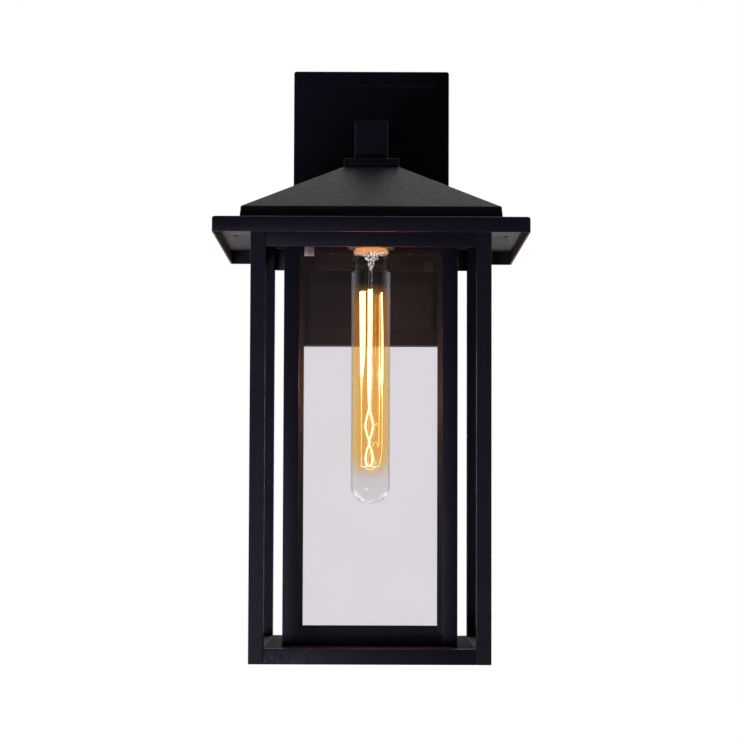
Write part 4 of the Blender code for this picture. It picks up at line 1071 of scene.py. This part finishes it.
# %% Leads
def centre_line(node):
    """The middle of each ring of a packed wire, in order, from the wire's first end cap."""
    shape = merged_copy(node, 0.2)
    ring = set(next(face for face in shape.faces if len(face.verts) > 4).verts)
    seen = set()
    line = []
    while ring:
        # A set has no fixed order, which would change the sum's last digit, so the corners are sorted.
        corners = sorted(tuple(vert.co) for vert in ring)
        line.append(Vector([sum(along) / len(corners) for along in zip(*corners)]))
        seen |= ring
        ring = {edge.other_vert(vert) for vert in ring for edge in vert.link_edges} - seen
    shape.free()
    return line


SLEEVE_RADIUS = 1.1 * MM
for node, material, slot in (("live_wire", BLACK_SLEEVE, "black_sleeve"),
                             ("neutral_wire", WHITE_SLEEVE, "white_sleeve"),
                             ("ground_wire", GREEN_SLEEVE, "green_sleeve")):
    route = centre_line(node)
    print(node, "points on its centre line:", len(route))
    sleeve = swept(node + "_round", [route], SLEEVE_RADIUS, material, spacing=1.5 * MM, sides=16)
    place(sleeve, slot, node)

# %% [markdown]
# A twist-on cap is a moulded cone with ribs for the fingers. Instances on the points of a circle make
# the ribs: one rib, a count and a radius are enough, so a tree does it.


# %% Ribs round a cap
def rib_tree():
    tree = Maker("Ribs round a cap", {"Count": "Int", "Radius": "Float", "Height": "Float",
                                      "Rib Radius": "Float", "Material": "Material"})
    given = tree.given
    ring = tree.add("GeometryNodeMeshCircle", {},
                    {"Vertices": given.output("Count"), "Radius": given.output("Radius")})
    rib = tree.add("GeometryNodeMeshCylinder", {"fill_type": "NGON"}, {
        "Vertices": 6, "Radius": given.output("Rib Radius"), "Depth": given.output("Height")})
    return tree.close(tree.add("GeometryNodeInstanceOnPoints", {}, {"Points": ring, "Instance": rib}))


RIBS = rib_tree()
NOSE = 1.4 * MM               # the radius that rounds the cap's closed end
for node in ("wire_nut_live", "wire_nut_neutral"):
    foot, tall = lower_end(node, "Z")
    outline = [(0, 0)] + arc(1.2 * MM, NOSE, NOSE, NOSE, -90, 0, 5)
    outline += [(3.9 * MM, 3.2 * MM), (4.9 * MM, tall - 6 * MM), (5.1 * MM, tall - 0.6 * MM),
                (4.8 * MM, tall), (0, tall)]
    place(turned(node + "_cone", outline, foot, WIRE_CAP, steps=48), "wire_cap", node)
    ribs = add_mesh(node + "_ribs", bpy.data.meshes.new(node), WIRE_CAP)
    RIBS.run(ribs, {"Count": 14, "Radius": 4.75 * MM, "Height": 9 * MM, "Rib Radius": 0.55 * MM,
                    "Material": WIRE_CAP})
    ribs.data.transform(Matrix.Translation((foot[0], foot[1], foot[2] + tall - 6.5 * MM)))
    place(ribs, "wire_cap")

# %% [markdown]
# ## Camera
# A long lens nearly two metres away, a little below the lantern's middle and tilted up by a few
# degrees, so that the undersides of the overhangs show as well as a thin band of the floor's top. The
# slight roll stands for a lantern that hangs a trace out of level.

# %% Camera
CAMERA_PLACE = (-0.0005, -1.9162, -0.2434)
CAMERA_PITCH = 3.2825
CAMERA_ROLL = 0.2
lens = bpy.data.cameras.new("Camera")
lens.lens = 111.52
lens.sensor_width = 36
lens.clip_start = 0.05
camera = linked("Camera", lens)
camera.matrix_world = (Matrix.Translation(CAMERA_PLACE)
                       @ Matrix.Rotation(math.radians(90 + CAMERA_PITCH), 4, "X")
                       @ Matrix.Rotation(math.radians(CAMERA_ROLL), 4, "Z"))
bpy.context.scene.camera = camera

# %% [markdown]
# ## Studio
# A weak, wide panel overhead lights the sloping and level faces, and a small one, low in front and to
# the left, makes the upright faces readable, the left ones more than the right. A pale floor lies far
# below. The white seen behind the lantern, and mirrored in it, comes from Light Path, so it puts no
# more light on the object. Black metal shows its form by what it mirrors, so only the room behind is
# mirrored white: a mask on the direction's Y leaves the room in front dark.


# %% White that lights nothing
FRONT_WHITE = 0.04            # how much of the white is mirrored from the room in front
BACK_WHITE = 0.86             # and from the room behind


def white_world(strength_on_object):
    world = bpy.data.worlds.new("Studio")
    world.use_nodes = True
    world.node_tree.nodes.clear()
    tree = Tree(world.node_tree)
    path = tree.add("ShaderNodeLightPath")
    direction = tree.add("ShaderNodeTexCoord").output("Generated")
    depth = tree.add("ShaderNodeSeparateXYZ", {}, {"Vector": direction}).output("Y")
    behind = tree.ramp(depth, -0.35, 0.45, FRONT_WHITE, BACK_WHITE)
    seen = tree.math("MAXIMUM", path.output("Is Camera Ray"), path.output("Is Transmission Ray"))
    seen = tree.math("MAXIMUM", seen, path.output("Is Glossy Ray") * behind)
    dim = tree.add("ShaderNodeBackground", {}, {"Color": (1, 1, 1, 1), "Strength": strength_on_object})
    white = tree.add("ShaderNodeBackground", {}, {"Color": (1, 1, 1, 1), "Strength": 1.0})
    tree.add("ShaderNodeOutputWorld", {}, {"Surface": mixed(tree, seen, dim, white)})
    bpy.context.scene.world = world


white_world(0.05)


# %% Floor
def pale_floor(height, reach):
    """A grid that is seen as white, and mirrored as white in its far half."""
    shape = bmesh.new()
    bmesh.ops.create_grid(shape, x_segments=1, y_segments=1, size=reach)
    bmesh.ops.translate(shape, vec=(0, 0, height), verts=shape.verts)
    paint = Finish("pale floor")
    path = paint.add("ShaderNodeLightPath")
    matt = paint.add("ShaderNodeBsdfDiffuse", {}, {"Color": (0.86, 0.86, 0.87, 1)})
    white = shining(paint, (1, 1, 1), 1.34)
    depth = paint.add("ShaderNodeSeparateXYZ", {}, {"Vector": paint.place}).output("Y")
    far_half = path.output("Is Glossy Ray") * paint.ramp(depth, -0.2, 0.5, 0.15, 1.0)
    seen = paint.math("MAXIMUM", path.output("Is Camera Ray"), far_half)
    finish = paint.done(mixed(paint, seen * 0.75, matt, white))
    add_mesh("floor", as_mesh("floor", shape), finish)


pale_floor(cad_box[0][2] - 0.75, 12)


# %% Soft panels
CENTRE = Vector((0, BULB_Y, -0.15))


def soft_panel(name, stands_at, side, power, colour):
    """A square panel that looks at the middle of the lantern."""
    lamp = bpy.data.lights.new(name, "AREA")
    lamp.shape = "RECTANGLE"
    lamp.size = lamp.size_y = side
    lamp.energy = power
    lamp.color = colour
    aim = (CENTRE - Vector(stands_at)).to_track_quat("-Z", "Y")
    linked(name, lamp).matrix_world = Matrix.Translation(stands_at) @ aim.to_matrix().to_4x4()
    print("lamp:", name, power, "W")


soft_panel("overhead", (0.25, 0.05, 1.6), 1.5, 4, (1, 0.9, 0.88))
soft_panel("low front", (-0.6, -1.4, -0.65), 0.4, 8.8, (0.86, 0.82, 1))

# %% [markdown]
# ### Lamplight
# A small warm lamp stands in the middle of the filament, because light from a lamp has less noise
# than light from glowing threads. The bulb's glass and the panes would mirror it as a bright ball, so
# light linking leaves those out.

# %% The filament's light
lamplight = bpy.data.lights.new("lamplight", "POINT")
lamplight.energy = 1.9
lamplight.color = (1, 0.6, 0.42)
lamplight.shadow_soft_size = 12 * MM
glow = linked("lamplight", lamplight)
glow.location = (BULB_X, BULB_Y, (FILAMENT_TOP + FILAMENT_FOOT) / 2)
glow.visible_camera = False
unlit = bpy.data.collections.new("not lit by the lamplight")
for piece in [envelope, stem] + [nodes[name] for name in by_finish[PANE]]:
    unlit.objects.link(piece)
glow.light_linking.receiver_collection = unlit
for entry in unlit.collection_objects:
    entry.light_linking.link_state = "EXCLUDE"

bpy.context.scene.view_settings.view_transform = "Standard"

# %% [markdown]
# ## The imported box
# The made pieces must stay inside the imported model's box, so that box is printed.

# %% Print the imported box
print("cad", cad_box)
